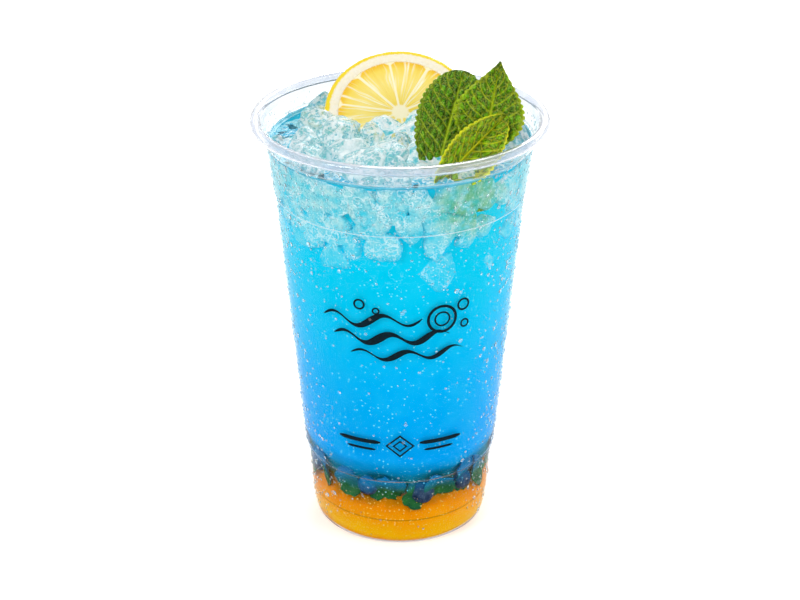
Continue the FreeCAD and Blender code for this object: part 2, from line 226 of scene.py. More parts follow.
def new_piece(name: str, points: np.ndarray, faces: Any, finish: Any = None, fields: Any = None) -> Piece:
    """Make a smooth-shaded mesh object.

    Args:
        name: Name of the piece.
        points: Points as rows of three.
        faces: Corner numbers of each face.
        finish: Material of every face.
        fields: Numbers kept on the points for the finish, by name.

    Returns:
        The new object, linked to the scene.
    """
    mesh = bpy.data.meshes.new(name)
    mesh.from_pydata((points * MM).tolist(), [], [list(map(int, face)) for face in faces])
    mesh.polygons.foreach_set("use_smooth", [True] * len(mesh.polygons))
    for key, values in (fields or {}).items():
        keep_field(mesh, key, values)
    if finish is not None:
        mesh.materials.append(finish)
    mesh.update()
    return linked(bpy.data.objects.new(name, mesh))


def linked(item: Piece) -> Piece:
    """Link an object to the scene."""
    bpy.context.scene.collection.objects.link(item)
    return item


def face_outward(piece: Piece) -> Piece:
    """Turn every face of a closed piece outward.

    Args:
        piece: The piece.

    Returns:
        The same piece.
    """
    work = bmesh.new()
    work.from_mesh(piece.data)
    bmesh.ops.recalc_face_normals(work, faces=work.faces)
    work.to_mesh(piece.data)
    work.free()
    return piece


def settle(piece: Piece, slot: Slot, *nodes: str) -> None:
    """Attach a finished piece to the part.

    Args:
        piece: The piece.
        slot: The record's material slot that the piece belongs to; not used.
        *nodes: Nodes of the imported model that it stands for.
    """
    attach(piece, BODY)
    if nodes:
        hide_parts(*nodes)
    LOG.info("%s: %d faces", piece.name, len(piece.data.polygons))


def rows_of(items: Any, what: str = "co") -> np.ndarray:
    """Places of a mesh's vertices or polygons, in millimetres."""
    values = np.empty(len(items) * 3)
    items.foreach_get(what, values)
    return values.reshape(-1, 3) / MM


def grid_faces(rows: int, columns: int, wrap: bool = True, ring: bool = False, poles: bool = False) -> list:
    """Corner numbers of a grid of faces.

    Args:
        rows: Points from row to row.
        columns: Points along each row.
        wrap: Whether each row closes on itself.
        ring: Whether the last row joins up with the first.
        poles: Whether two further points close the first and the last row.

    Returns:
        The faces, with points numbered row by row.
    """
    faces = []
    for row in range(rows if ring else rows - 1):
        low, high = row * columns, (row + 1) % rows * columns
        for column in range(columns if wrap else columns - 1):
            following = (column + 1) % columns
            faces.append((low + column, low + following, high + following, high + column))
    foot, last = rows * columns, (rows - 1) * columns
    for column in range(columns if poles else 0):
        following = (column + 1) % columns
        faces.append((foot, following, column))
        faces.append((foot + 1, last + column, last + following))
    return faces


def turned(profile: np.ndarray, segments: int, ring: bool = False) -> tuple[np.ndarray, list]:
    """Turn a profile round the upright axis.

    Args:
        profile: Radius and height, row by row; a solid's ends lie on the axis.
        segments: Steps round the axis.
        ring: Whether the profile closes on itself instead.

    Returns:
        The points and the faces.
    """
    middle = profile if ring else profile[1:-1]
    points = polar(middle[:, :1], circle(segments), middle[:, 1:])
    faces = grid_faces(len(middle), segments, ring=ring, poles=not ring)
    if ring:
        return points, faces
    ends = np.array([[0.0, 0.0, profile[0, 1]], [0.0, 0.0, profile[-1, 1]]])
    return np.vstack([points, ends]), faces


def plate(upper: list, edge: list[int], count: int) -> list:
    """Close a sheet of faces.

    Args:
        upper: Faces of its upper side.
        edge: Points along its edge, in order.
        count: Points of each side; the lower ones follow the upper ones.

    Returns:
        The faces of both sides and of the rim between them.
    """
    lower = [tuple(corner + count for corner in face[::-1]) for face in upper]
    pairs = zip(edge, edge[1:] + edge[:1])
    return upper + lower + [(here, beyond, beyond + count, here + count) for here, beyond in pairs]


def rounded(corners: list[tuple[float, float, float]], steps: int = 5) -> np.ndarray:
    """Round the corners of an open outline.

    Args:
        corners: Radius, height and rounding of each corner.
        steps: Points on each rounding.

    Returns:
        The outline as rows of radius and height.
    """
    places = np.array([(across, up) for across, up, _ in corners])
    outline = [places[0]]
    for number in range(1, len(corners) - 1):
        here = places[number]
        back, ahead = places[number - 1] - here, places[number + 1] - here
        reach = min(corners[number][2], 0.45 * np.linalg.norm(back), 0.45 * np.linalg.norm(ahead))
        if reach <= 0.0:
            outline.append(here)
            continue
        start = here + back / np.linalg.norm(back) * reach
        end = here + ahead / np.linalg.norm(ahead) * reach
        for share in np.linspace(0.0, 1.0, steps):
            outline.append((1 - share) ** 2 * start + 2 * share * (1 - share) * here + share**2 * end)
    outline.append(places[-1])
    return np.array(outline)


def divided(outline: np.ndarray, longest: float) -> np.ndarray:
    """Divide the long runs of an outline.

    Args:
        outline: Rows of radius and height.
        longest: Length that no run passes.

    Returns:
        The divided outline.
    """
    points = [outline[0]]
    for start, end in zip(outline, outline[1:]):
        count = max(1, math.ceil(np.linalg.norm(end - start) / longest))
        points += [start + (end - start) * step / count for step in range(1, count + 1)]
    return np.array(points)


def ball(divisions: int) -> tuple[np.ndarray, np.ndarray]:
    """A ball of radius 1.

    Args:
        divisions: How often its triangles are divided.

    Returns:
        Its points and triangles.
    """
    work = bmesh.new()
    bmesh.ops.create_icosphere(work, subdivisions=divisions, radius=1.0)
    points = np.array([vertex.co[:] for vertex in work.verts])
    faces = np.array([[vertex.index for vertex in face.verts] for face in work.faces])
    work.free()
    return points, faces


def dome(sides: int, rings: int, flat: float) -> tuple[np.ndarray, list]:
    """A closed drop that lies on a surface, with a flat underside.

    Args:
        sides: Steps round it.
        rings: Steps up it.
        flat: Its height as a share of its radius.

    Returns:
        The points and the faces.
    """
    lift = np.linspace(0.0, math.pi / 2, rings + 1)[:-1]
    side = np.column_stack([np.cos(lift), flat * np.sin(lift)])
    return turned(np.vstack([[(0.0, -0.15)], [(0.92, -0.15)], side, [(0.0, flat)]]), sides)


@dataclass(frozen=True)
class Axes:
    """A node's own frame, worked out from its mesh.

    Attributes:
        middle: Middle of the node.
        long: Direction of its longest extent.
        wide: Direction of its width.
        thin: Direction of its least extent.
        reach: Half extents along those three.
    """

    middle: np.ndarray
    long: np.ndarray
    wide: np.ndarray
    thin: np.ndarray
    reach: np.ndarray

    @classmethod
    def of_node(cls, node: Piece) -> "Axes":
        """Measure a node.

        Args:
            node: The node.

        Returns:
            Its frame.
        """
        points = rows_of(node.data.vertices)
        _, directions = np.linalg.eigh(np.cov((points - points.mean(axis=0)).T))
        along = points @ directions
        low, high = along.min(axis=0), along.max(axis=0)
        middle = directions @ ((low + high) / 2.0)
        return cls(middle, directions[:, 2], directions[:, 1], directions[:, 0], ((high - low) / 2.0)[::-1])


# ---------------------------------------------------------------- node trees


@dataclass(frozen=True)
class Wire:
    """An output of a node, which sums can be made of.

    Attributes:
        tree: The tree that it belongs to.
        socket: The output.
    """

    tree: "Tree"
    socket: bpy.types.NodeSocket

    def other(self, output: str) -> "Wire":
        """Another output of the same node."""
        return Wire(self.tree, self.socket.node.outputs[output])

    def maths(self, operation: str, second: Any = 0.0) -> "Wire":
        """A sum of this and a second value."""
        return self.tree.add("Math", 0, {0: self, 1: second}, operation=operation)

    def __add__(self, second: Any) -> "Wire":
        """This and a second value added."""
        return self.maths("ADD", second)

    def __sub__(self, second: Any) -> "Wire":
        """This value less a second."""
        return self.maths("SUBTRACT", second)

    def __mul__(self, second: Any) -> "Wire":
        """This value times a second."""
        return self.maths("MULTIPLY", second)

    def most(self, second: Any) -> "Wire":
        """The greater of this and a second value."""
        return self.maths("MAXIMUM", second)

    def stretch(self, low: Any, high: Any, out_low: Any = 0.0, out_high: Any = 1.0) -> "Wire":
        """This value's range from low to high mapped onto another, clamped."""
        feeds = {"Value": self, "From Min": low, "From Max": high, "To Min": out_low, "To Max": out_high}
        return self.tree.add("MapRange", "Result", feeds)


class Tree:
    """A node tree under construction.

    Attributes:
        tree: The tree itself.
        start: Its input node, if it is a group.
    """

    def __init__(self, tree: Any) -> None:
        """Take up a tree, and empty it."""
        self.tree = tree
        self.start: Any = None
        self.tree.nodes.clear()

    def node(self, kind: str, feeds: dict | None = None, **settings: Any) -> bpy.types.Node:
        """Add a node.

        Args:
            kind: Its type, with or without a leading ShaderNode.
            feeds: What its inputs take, by name or number: an output or a plain value.
            **settings: Properties to set.

        Returns:
            The node.
        """
        made = self.tree.nodes.new(kind if "Node" in kind else f"ShaderNode{kind}")
        for key, value in settings.items():
            setattr(made, key, value)
        for key, source in (feeds or {}).items():
            if isinstance(source, Wire):
                self.tree.links.new(source.socket, made.inputs[key])
            else:
                made.inputs[key].default_value = linear(source)
        return made

    def add(self, kind: str, output: int | str, feeds: dict | None = None, **settings: Any) -> Wire:
        """Add a node and give one of its outputs."""
        return Wire(self, self.node(kind, feeds, **settings).outputs[output])

    @classmethod
    def group(cls, name: str, kind: str, takes: dict[str, str], gives: tuple[str, str]) -> "Tree":
        """Start a group.

        Args:
            name: Name of the group.
            kind: Shader or Geometry.
            takes: Socket type of each named input.
            gives: Name and socket type of the output.

        Returns:
            The tree under construction.
        """
        tree = bpy.data.node_groups.new(name, f"{kind}NodeTree")
        for key, socket in takes.items():
            tree.interface.new_socket(key, in_out="INPUT", socket_type=f"NodeSocket{socket}")
        tree.interface.new_socket(gives[0], in_out="OUTPUT", socket_type=f"NodeSocket{gives[1]}")
        made = cls(tree)
        made.start = made.node("NodeGroupInput")
        return made

    def given(self, name: str) -> Wire:
        """An input of the group."""
        return Wire(self, self.start.outputs[name])

    def end(self, value: Wire, outlet: str = "NodeGroupOutput") -> Any:
        """Send a value to the outlet, and give the tree."""
        self.node(outlet, {0: value})
        return self.tree

    def seen(self) -> Wire:
        """1 for camera, glossy and transmission rays, else 0."""
        path = self.add("LightPath", "Is Camera Ray")
        return path.most(path.other("Is Transmission Ray")).most(path.other("Is Glossy Ray"))


def bubble_group() -> bpy.types.NodeTree:
    """Group of fine gas bubbles: small bright dots strewn through a drink."""
    group = Tree.group("fine_bubbles", "Shader", {"Size": "Float", "Amount": "Float"}, ("Dots", "Float"))
    scale = group.add("Math", 0, {0: 1.0 / MM, 1: group.given("Size")}, operation="DIVIDE")
    feeds = {"Vector": group.add("TexCoord", "Object"), "Scale": scale}
    cells = group.add("TexVoronoi", "Distance", feeds)
    chosen = group.add("SeparateColor", 0, {0: cells.other("Color")})
    return group.end(cells.stretch(0.14, 0.24, 1.0, 0.0) * chosen.maths("LESS_THAN", group.given("Amount")))


def glint_group() -> bpy.types.NodeTree:
    """Group of crinkled lines for painted highlights, as light makes along the edges of crushed ice, and for
    painted shade.
    """
    group = Tree.group("ice_glints", "Shader", {"Size": "Float", "Width": "Float"}, ("Lines", "Float"))
    scale = group.add("Math", 0, {0: 1.0 / MM, 1: group.given("Size")}, operation="DIVIDE")
    feeds = {"Vector": group.add("TexCoord", "Object"), "Scale": scale, "Detail": 2.5}
    away = (group.add("TexNoise", "Fac", feeds) - 0.5).maths("ABSOLUTE")
    return group.end(away.stretch(0.0, group.given("Width"), 1.0, 0.0))


class Brush(Tree):
    """A material under construction, coloured coat by coat.

    Attributes:
        material: The material.
        colour: Its colour so far.
    """

    def __init__(self, name: str) -> None:
        """Start a material of that name."""
        self.material = bpy.data.materials.new(name)
        self.material.use_nodes = True
        self.colour: Any = None
        super().__init__(self.material.node_tree)

    def place(self) -> Wire:
        """Object coordinates, in metres."""
        return self.add("TexCoord", "Object")

    def height(self) -> Wire:
        """Height in millimetres."""
        return self.add("SeparateXYZ", "Z", {0: self.place()}) * (1.0 / MM)

    def field(self, name: str) -> Wire:
        """A number kept on the piece's points."""
        return self.add("Attribute", "Fac", attribute_name=name)

    def noise(self, size: float, detail: float = 2.0) -> Wire:
        """Noise from 0 to 1, by the width of its bumps and its octaves."""
        feeds = {"Vector": self.place(), "Scale": 1.0 / (size * MM), "Detail": detail}
        return self.add("TexNoise", "Fac", feeds)

    def swirl(self, size: float, detail: float, reach: float) -> Wire:
        """Noise about 0, as wide from end to end as reach."""
        return (self.noise(size, detail) - 0.5) * reach

    def dots(self, size: float, amount: float) -> Wire:
        """Fine bubbles from 0 to 1, by their spacing and the share of places that hold one."""
        group = bpy.data.node_groups.get("fine_bubbles") or bubble_group()
        return self.add("Group", "Dots", {"Size": size, "Amount": amount}, node_tree=group)

    def lines(self, size: float, width: float) -> Wire:
        """Crinkled lines from 0 to 1 for painted highlights and painted shade, by their spacing and their
        width as a share of the noise.
        """
        group = bpy.data.node_groups.get("ice_glints") or glint_group()
        return self.add("Group", "Lines", {"Size": size, "Width": width}, node_tree=group)

    def mix(self, share: Any, first: Any, second: Any) -> Wire:
        """A colour between two."""
        return self.add("Mix", 2, {0: share, 6: first, 7: second}, data_type="RGBA")

    def coat(self, share: Any, colour: Any) -> None:
        """Lay a further colour over the one so far, by a share."""
        self.colour = self.mix(share, self.colour, colour)

    def ramp(self, value: Wire, *stops: tuple[float, tuple]) -> Wire:
        """Run a value through a band of colours.

        Args:
            value: The value to look up.
            *stops: Place and colour of each stop.

        Returns:
            The colour.
        """
        made = self.node("ValToRGB", {0: value})
        elements = made.color_ramp.elements
        while len(elements) < len(stops):
            elements.new(0.5)
        for element, (place, colour) in zip(elements, stops):
            element.position = place
            element.color = linear(colour)
        return Wire(self, made.outputs[0])

    def bump(self, height: Wire, depth: float, strength: float) -> Wire:
        """Relief from a height between 0 and 1, by its depth and the share of it that shows."""
        return self.add("Bump", "Normal", {"Strength": strength, "Distance": depth * MM, "Height": height})

    def close(self, through: Any = None, relief: Any = None, glow: float = 0.0, **values: Any) -> Material:
        """Add the shader and end the material.

        Args:
            through: Colour that a clear material gives the light of lamps behind it.
            relief: Width, octaves, depth and strength of its relief.
            glow: Share of its own colour that it gives off as painted glow.
            **values: Further inputs of the shader, with _ for a space.

        Returns:
            The material.
        """
        feeds = {"Base Color": self.colour} | {key.replace("_", " "): value for key, value in values.items()}
        if relief:
            feeds["Normal"] = self.bump(self.noise(*relief[:2]), *relief[2:])
        # Painted glow: the finish gives off light of its own colour, though it is no lamp.
        if glow:
            feeds |= {"Emission Color": self.colour, "Emission Strength": glow}
        shader = self.add("BsdfPrincipled", 0, feeds)
        if through:
            path = self.add("LightPath", "Is Shadow Ray")
            clear = self.add("BsdfTransparent", 0, {"Color": through})
            either = path.most(path.other("Is Diffuse Ray"))
            shader = self.add("MixShader", 0, {0: either, 1: shader, 2: clear})
        self.end(shader, "ShaderNodeOutputMaterial")
        return self.material


# ---------------------------------------------------------------- finishes


@dataclass(frozen=True)
class Clear:
    """A clear finish, which lets lamps reach what is behind it.

    Attributes:
        name: Name of the material.
        index: How much it bends light, which is less between plastic and drink.
        through: Colour of the light let through.
        tints: The two colours that it varies between.
        patch: Width of that variation.
        clear: Share of it that is clear and not milky; on the lip, the creases and the beads the milky share
            is a painted highlight.
        rough: Roughness.
        shine: Strength of what it reflects.
        ripple: Width, octaves, depth and strength of its relief.
        haze: Roughness of its dull patches, if it has any.
    """

    name: str
    index: float
    through: tuple
    tints: tuple
    patch: float = 9.0
    clear: float = 1.0
    rough: float = 0.0
    shine: float = 1.0
    ripple: tuple | None = None
    haze: float = 0.0

    def build(self) -> Material:
        """Build the material."""
        brush = Brush(self.name)
        even = self.tints[0] == self.tints[1]
        brush.colour = self.tints[0] if even else brush.mix(brush.noise(self.patch), *self.tints)
        rough = brush.noise(2.0).stretch(0.3, 0.7, 0.0, self.haze) if self.haze else self.rough
        return brush.close(
            self.through,
            self.ripple,
            Roughness=rough,
            Specular_Tint=(self.shine, self.shine, self.shine, 1.0),
            IOR=self.index,
            Transmission_Weight=self.clear,
        )


PET = ((0.985, 0.992, 0.995, 1.0),) * 2
SHEET = (0.97, 0.98, 0.985, 1.0)
WET_WALL = Clear("wet_clear_plastic", 1.1, SHEET, PET, rough=0.02, shine=0.03, ripple=(9.0, 1.0, 0.05, 0.35))
DRY_WALL = replace(WET_WALL, name="dry_clear_plastic", index=1.42, shine=0.5)
# Painted highlight: a tenth of the lip is milky lavender white, standing in for the bright lines of the
# curled rim; the rest is clear plastic.
LIP_HIGHLIGHT_TINTS = ((222, 228, 240), (252, 253, 255))
LIP = Clear("clear_plastic_lip", 1.42, (0.95, 0.96, 0.98, 1.0), LIP_HIGHLIGHT_TINTS, 7.0, 0.9, 0.03)
# Painted highlight: half of each pressed step's outer face is milky white, standing in for the light lines
# that the creases catch; the rest is clear plastic.
CREASE_HIGHLIGHT_TINTS = ((214, 240, 250), (252, 254, 255))
CREASE_HIGHLIGHT = Clear("clear_plastic_crease", 1.42, (0.95, 0.97, 0.98, 1.0), CREASE_HIGHLIGHT_TINTS, 9.0, 0.5, 0.1)
WATER = ((0.93, 0.985, 0.99, 1.0),) * 2
LIQUID = Clear("clear_liquid", 1.12, (0.96, 0.99, 1.0, 1.0), WATER, shine=0.03, ripple=(6.0, 2.0, 0.25, 0.25))
# Painted highlight: a little of each bead is milky pale blue white, standing in for the light that it
# catches; the rest is clear water.
BEAD_HIGHLIGHT_TINTS = ((0.88, 0.97, 1.0, 1.0),) * 2
BEAD = Clear("water_bead", 1.33, (0.95, 0.97, 0.98, 1.0), BEAD_HIGHLIGHT_TINTS, clear=0.92, haze=0.05)
BRIM_TINTS = ((0, 184, 218), (150, 232, 246))
BRIM = Clear("rim_of_drink", 1.33, (0.8, 0.95, 1.0, 1.0), BRIM_TINTS, 4.0, 0.35, 0.1)


@dataclass(frozen=True)
class Patchy:
    """A solid finish that varies between two colours.

    Attributes:
        name: Name of the material.
        patch: Width and octaves of the patches.
        span: Lowest and highest noise that counts, and the shares that they stand for.
        tints: The two colours.
        rough: Roughness.
        shine: Strength of its shine.
        relief: Width, octaves, depth and strength of its relief.
        veil: Height where blue drink starts to veil it, if it does.
    """

    name: str
    patch: tuple
    span: tuple
    tints: tuple
    rough: float
    shine: float = 0.5
    relief: tuple | None = None
    veil: float | None = None

    def build(self) -> Material:
        """Build the material."""
        brush = Brush(self.name)
        brush.colour = brush.mix(brush.noise(*self.patch).stretch(*self.span), *self.tints)
        if self.veil is not None:
            level = brush.height() + brush.swirl(5.0, 3.0, 5.0)
            brush.coat(level.stretch(self.veil + 1.6, self.veil + 7.0, 0.05, 0.97), (0, 122, 176))
        return brush.close(relief=self.relief, Roughness=self.rough, Specular_IOR_Level=self.shine)


INK_TINTS = ((8, 26, 34), (20, 62, 78))
INK = Patchy("black_ink", (0.8, 3.0), (0.35, 0.75, 0.0, 0.35), INK_TINTS, 0.7, 0.05)
BERRY_TINTS = ((6, 26, 62), (80, 98, 122))
BERRY = Patchy("berry_skin", (2.2, 4.0), (0.4, 0.7, 0.0, 0.6), BERRY_TINTS, 0.4, 0.2, (1.0, 3.0, 0.15, 0.5))
BIT_TINTS = ((0, 60, 30), (50, 124, 10))
LEAF_BIT = Patchy("sunk_leaf", (2.4, 4.0), (0.0, 1.0), BIT_TINTS, 0.4, 0.1, (0.9, 3.0, 0.3, 0.8))
STALK_TINTS = ((120, 160, 30), (190, 206, 70))
STALK = Patchy("mint_stalk", (1.2, 3.0), (0.0, 1.0), STALK_TINTS, 0.45, relief=(0.6, 2.0, 0.1, 1.0))


@dataclass(frozen=True)
class GasBubble:
    """Small gas bubbles in the drink, golden in the syrup."""

    syrup_top: float

    def build(self) -> Material:
        """Build the material."""
        brush = Brush("gas_bubble")
        blue = brush.mix(brush.noise(3.0), (40, 206, 246), (170, 236, 250))
        high = brush.height().stretch(self.syrup_top, self.syrup_top + 4.0)
        brush.colour = brush.mix(high, (255, 212, 110), blue)
        return brush.close(Roughness=0.15, IOR=1.33, Specular_IOR_Level=0.2)


@dataclass(frozen=True)
class CloudyDrink:
    """The cloudy body of the blue lemonade, paler with melting ice near the top, where painted highlights of
    ice edges cross it.

    Attributes:
        bottom: Height where the blue starts.
        top: Height of the drink's surface.
    """

    bottom: float
    top: float

    def tint(self, brush: Brush) -> Wire:
        """Colour of the drink at each height.

        Args:
            brush: The material under construction.

        Returns:
            The colour.
        """
        level = brush.height() + brush.swirl(13.0, 3.0, 7.0)
        return brush.ramp(
            level.stretch(self.bottom, self.top),
            (0.0, (206, 116, 8)),
            (0.025, (90, 96, 30)),
            (0.05, (10, 104, 110)),
            (0.085, (0, 146, 206)),
            (0.14, (0, 164, 244)),
            (0.38, (0, 182, 248)),
            (0.62, (0, 203, 246)),
            (0.74, (0, 208, 243)),
            (0.86, (20, 208, 234)),
            (0.97, (50, 206, 224)),
            (1.0, (0, 184, 218)),
        )

    def build(self) -> Material:
        """Build the material."""
        brush = Brush("cloudy_blue_drink")
        brush.colour = self.tint(brush)
        brush.coat(brush.noise(5.0, 4.0).stretch(0.4, 0.75, 0.0, 0.12), (60, 226, 252))
        # Painted highlights: pale crinkled lines near the top, as light makes along the edges of ice in the
        # drink.
        icy = brush.height().stretch(self.top - 38.0, self.top - 8.0, 0.0, 0.75)
        icy = icy * brush.noise(9.0, 2.0).stretch(0.45, 0.6)
        brush.coat(brush.lines(3.4, 0.018) * icy, (200, 246, 250))
        brush.coat(brush.dots(1.4, 0.4), (120, 236, 252))
        return brush.close(relief=(1.2, 3.0, 0.15, 0.25), glow=PAINTED_GLOW, Roughness=0.5, Specular_IOR_Level=0.0)


@dataclass(frozen=True)
class OrangeSyrup:
    """The syrup at the bottom, brighter towards the floor.

    Attributes:
        top: Height of the layer's top.
        heel: Height of the cup's crease, painted into the syrup as a darker line of shade.
    """

    top: float
    heel: float = 10.35

    def build(self) -> Material:
        """Build the material."""
        brush = Brush("orange_syrup")
        brush.colour = brush.ramp(
            brush.height().stretch(0.0, self.top) + brush.swirl(9.0, 3.0, 0.55),
            (0.0, (248, 150, 0)),
            (0.2, (255, 186, 0)),
            (0.5, (255, 162, 0)),
            (0.8, (244, 138, 0)),
            (1.0, (168, 106, 8)),
        )
        # Painted shade: a darker line at the height of the cup's crease.
        away = (brush.height() - self.heel).maths("ABSOLUTE")
        brush.coat(away.stretch(0.12, 0.34, 0.55, 0.0), (150, 84, 0))
        brush.coat(brush.dots(1.1, 0.45), (255, 220, 90))
        brush.coat(brush.dots(0.7, 0.3), (206, 116, 0))
        return brush.close(relief=(1.5, 3.0, 0.2, 0.25), glow=PAINTED_GLOW, Roughness=0.45, Specular_IOR_Level=0.02)


@dataclass(frozen=True)
class WetIce:
    """Crushed ice above the drink: clear and cloudy with bubbles, with painted dark lines, painted highlights
    along crinkles and facet edges, and a painted yellow reflection of the lemon near it.
    """

    index: float = 1.31

    def build(self) -> Material:
        """Build the material."""
        brush = Brush("wet_ice")
        brush.colour = brush.mix(brush.noise(2.2, 4.0).stretch(0.4, 0.6), (126, 202, 206), (246, 253, 253))
        # Painted shade: dark teal crinkled lines, as refraction shows along the edges of ice.
        brush.coat(brush.lines(2.2, 0.04), (40, 168, 190))
        # Painted reflection: the lemon's yellow in the ice near it.
        lemon_reflection = brush.field("near") * brush.noise(2.4, 3.0).stretch(0.52, 0.6)
        brush.coat(lemon_reflection * 0.8, (240, 208, 60))
        # Painted highlights: white where facets meet, and white crinkled lines.
        brush.coat(brush.field("edge").stretch(0.55, 0.95, 0.0, 0.85), WHITE)
        brush.coat(brush.lines(1.4, 0.04), WHITE)
        melt = (0.95, 0.99, 0.99, 1.0)
        return brush.close(
            melt, (2.6, 3.0, 1.5, 1.0), Roughness=0.02, IOR=self.index, Transmission_Weight=0.42
        )


@dataclass(frozen=True)
class SunkIce:
    """Ice under the surface: pale near the top and as blue as the drink further down, with painted highlights
    and painted dark lines along crinkles, and painted green light from the low mint leaf near it.
    """

    drink: CloudyDrink

    def build(self) -> Material:
        """Build the material."""
        brush = Brush("sunk_ice")
        sink = brush.field("sink")
        near = brush.field("depth").stretch(1.6, 0.0).most(sink.stretch(0.45, 0.0, 0.0, 0.9))
        near = near * sink.stretch(0.1, 0.9, 1.0, 0.45)
        patch = brush.noise(4.0, 4.0).stretch(0.34, 0.66) * 0.66 + 0.06
        pale = brush.mix(sink, (206, 236, 230), (96, 226, 240))
        brush.colour = brush.mix(near * patch, self.drink.tint(brush), pale)
        # Painted highlights: white crinkled wisps, weaker further down.
        both = brush.lines(3.4, 0.032).most(brush.lines(1.6, 0.03) * 0.75)
        highlight_wisps = both * brush.noise(7.0, 2.0).stretch(0.42, 0.58, 0.1, 1.0)
        brush.coat(highlight_wisps * sink.stretch(0.0, 0.8, 1.0, 0.5), (240, 253, 254))
        # Painted shade: dark teal crinkled lines near the top.
        brush.coat(brush.lines(2.1, 0.03) * sink.stretch(0.0, 0.6, 0.6, 0.0), (30, 160, 184))
        # Painted light: the green of the low mint leaf, seen through the ice near it.
        painted_leaf_light = brush.field("near") * brush.noise(3.0, 3.0).stretch(0.3, 0.6, 0.1, 0.7)
        brush.coat(painted_leaf_light, (84, 168, 70))
        brush.coat(brush.dots(0.9, 0.55), (226, 250, 252))
        return brush.close(relief=(1.4, 4.0, 0.4, 0.7), glow=PAINTED_GLOW, Roughness=0.3, Specular_IOR_Level=0.15)


@dataclass(frozen=True)
class IceCore:
    """Packed ice under the loose lumps, with blue drink standing in its low places and painted highlights
    along crinkles.
    """

    level: float

    def build(self) -> Material:
        """Build the material."""
        brush = Brush("ice_core")
        rise = brush.height().stretch(self.level - 0.3, self.level + 1.4)
        icy = brush.mix(brush.noise(2.6, 4.0).stretch(0.35, 0.65), (70, 196, 210), (246, 252, 252))
        brush.colour = brush.mix(rise, (0, 172, 210), icy)
        # Painted highlights: white crinkled lines.
        brush.coat(brush.lines(2.6, 0.05), (244, 253, 254))
        return brush.close(relief=(1.6, 4.0, 0.9, 0.8), glow=PAINTED_GLOW, Roughness=0.12)


@dataclass(frozen=True)
class Rind:
    """Zest and pith of the lemon, told apart by how far out they lie."""

    dimple: float = 1.0

    def build(self) -> Material:
        """Build the material."""
        brush = Brush("lemon_rind")
        share = brush.field("out") + brush.swirl(1.0, 3.0, 0.5)
        pith = brush.mix(brush.noise(1.5, 3.0), (255, 240, 200), (255, 251, 238))
        zest = brush.mix(brush.noise(1.2, 3.0), (246, 200, 0), (255, 238, 0))
        brush.colour = brush.mix(share.stretch(0.25, 0.5), pith, zest)
        feeds = {"Vector": brush.place(), "Scale": 1.0 / (self.dimple * MM)}
        relief = brush.bump(brush.add("TexVoronoi", "Distance", feeds), 0.25, 0.7)
        return brush.close(Roughness=0.32, Normal=relief, Coat_Weight=0.25)


@dataclass(frozen=True)
class Pulp:
    """Juicy flesh of the lemon with its skins and its white middle, and painted highlights along its streaks.
    """

    middle: float = 0.13

    def build(self) -> Material:
        """Build the material."""
        brush = Brush("lemon_pulp")
        reach, skin, streak = (brush.field(name) for name in ("reach", "skin", "streak"))
        brush.colour = brush.ramp(
            reach,
            (0.0, (246, 214, 50)),
            (0.25, (248, 222, 92)),
            (0.6, (250, 228, 124)),
            (0.84, (248, 218, 84)),
            (0.93, (244, 196, 10)),
            (1.0, (236, 178, 0)),
        )
        # Painted highlights: pale glints along the streaks.
        brush.coat(streak.stretch(0.1, 0.8, 0.0, 0.9), (255, 250, 222))
        brush.coat(streak.stretch(-0.25, -0.8, 0.0, 0.45), (244, 206, 66))
        brush.coat(skin.most(reach.stretch(self.middle, 0.10)), (255, 245, 206))
        rough = skin.stretch(0.0, 1.0, 0.16, 0.4)
        return brush.close(relief=(0.9, 3.0, 0.12, 0.5), glow=PAINTED_GLOW, Roughness=rough, Coat_Weight=0.15)


@dataclass(frozen=True)
class LeafGreen:
    """Mint leaf: quilted green, darker in the hollows as painted shade and lighter on the raised cells as
    painted light, with painted dark and bright crinkles and paler veins; its margin is paler as a painted
    highlight.

    Attributes:
        name: Name of the material.
        deep: Colour of the hollows and the dark crinkles, as painted shade.
        light: Colour of the raised cells, as painted light.
        vein: Colour of the veins, and of the pale margin as a painted highlight.
    """

    name: str
    deep: tuple
    light: tuple
    vein: tuple

    def build(self) -> Material:
        """Build the material."""
        brush = Brush(self.name)
        patch = brush.noise(3.0, 4.0).stretch(0.35, 0.65, 0.45, 1.0)
        # Painted shade and light: darker in the hollows, lighter on the raised cells.
        brush.colour = brush.mix(brush.field("rise").stretch(0.0, 0.45) * patch, self.deep, self.light)
        # Painted shade: dark crinkled lines.
        brush.coat(brush.lines(1.7, 0.06) * 0.9, self.deep)
        # Veins, and the pale margin as a painted highlight.
        brush.coat(brush.field("vein"), self.vein)
        # Painted highlights: bright crinkled lines.
        brush.coat(brush.lines(1.0, 0.022) * 0.6, (216, 236, 110))
        rough = brush.noise(1.5, 2.0).stretch(0.3, 0.7, 0.22, 0.36)
        return brush.close(relief=(0.6, 3.0, 0.3, 0.8), Roughness=rough, Specular_IOR_Level=0.14)


DEEP_GREEN = LeafGreen("mint_deep", (4, 38, 0), (100, 170, 0), (186, 214, 30))
FRESH_GREEN = LeafGreen("mint_fresh", (6, 42, 0), (116, 182, 0), (200, 220, 20))
YOUNG_GREEN = LeafGreen("mint_young", (12, 56, 0), (140, 196, 0), (238, 238, 30))


# ---------------------------------------------------------------- geometry nodes


def dressed(tree: Tree, instances: Wire) -> bpy.types.NodeTree:
    """End a tree: realize its instances and set their material.

    Args:
        tree: The tree.
        instances: The instances.

    Returns:
        The ended tree.
    """
    real = tree.add("GeometryNodeRealizeInstances", 0, {0: instances})
    smooth = tree.add("GeometryNodeSetShadeSmooth", 0, {"Geometry": real})
    feeds = {"Geometry": smooth, "Material": tree.given("Finish")}
    return tree.end(tree.add("GeometryNodeSetMaterial", 0, feeds))


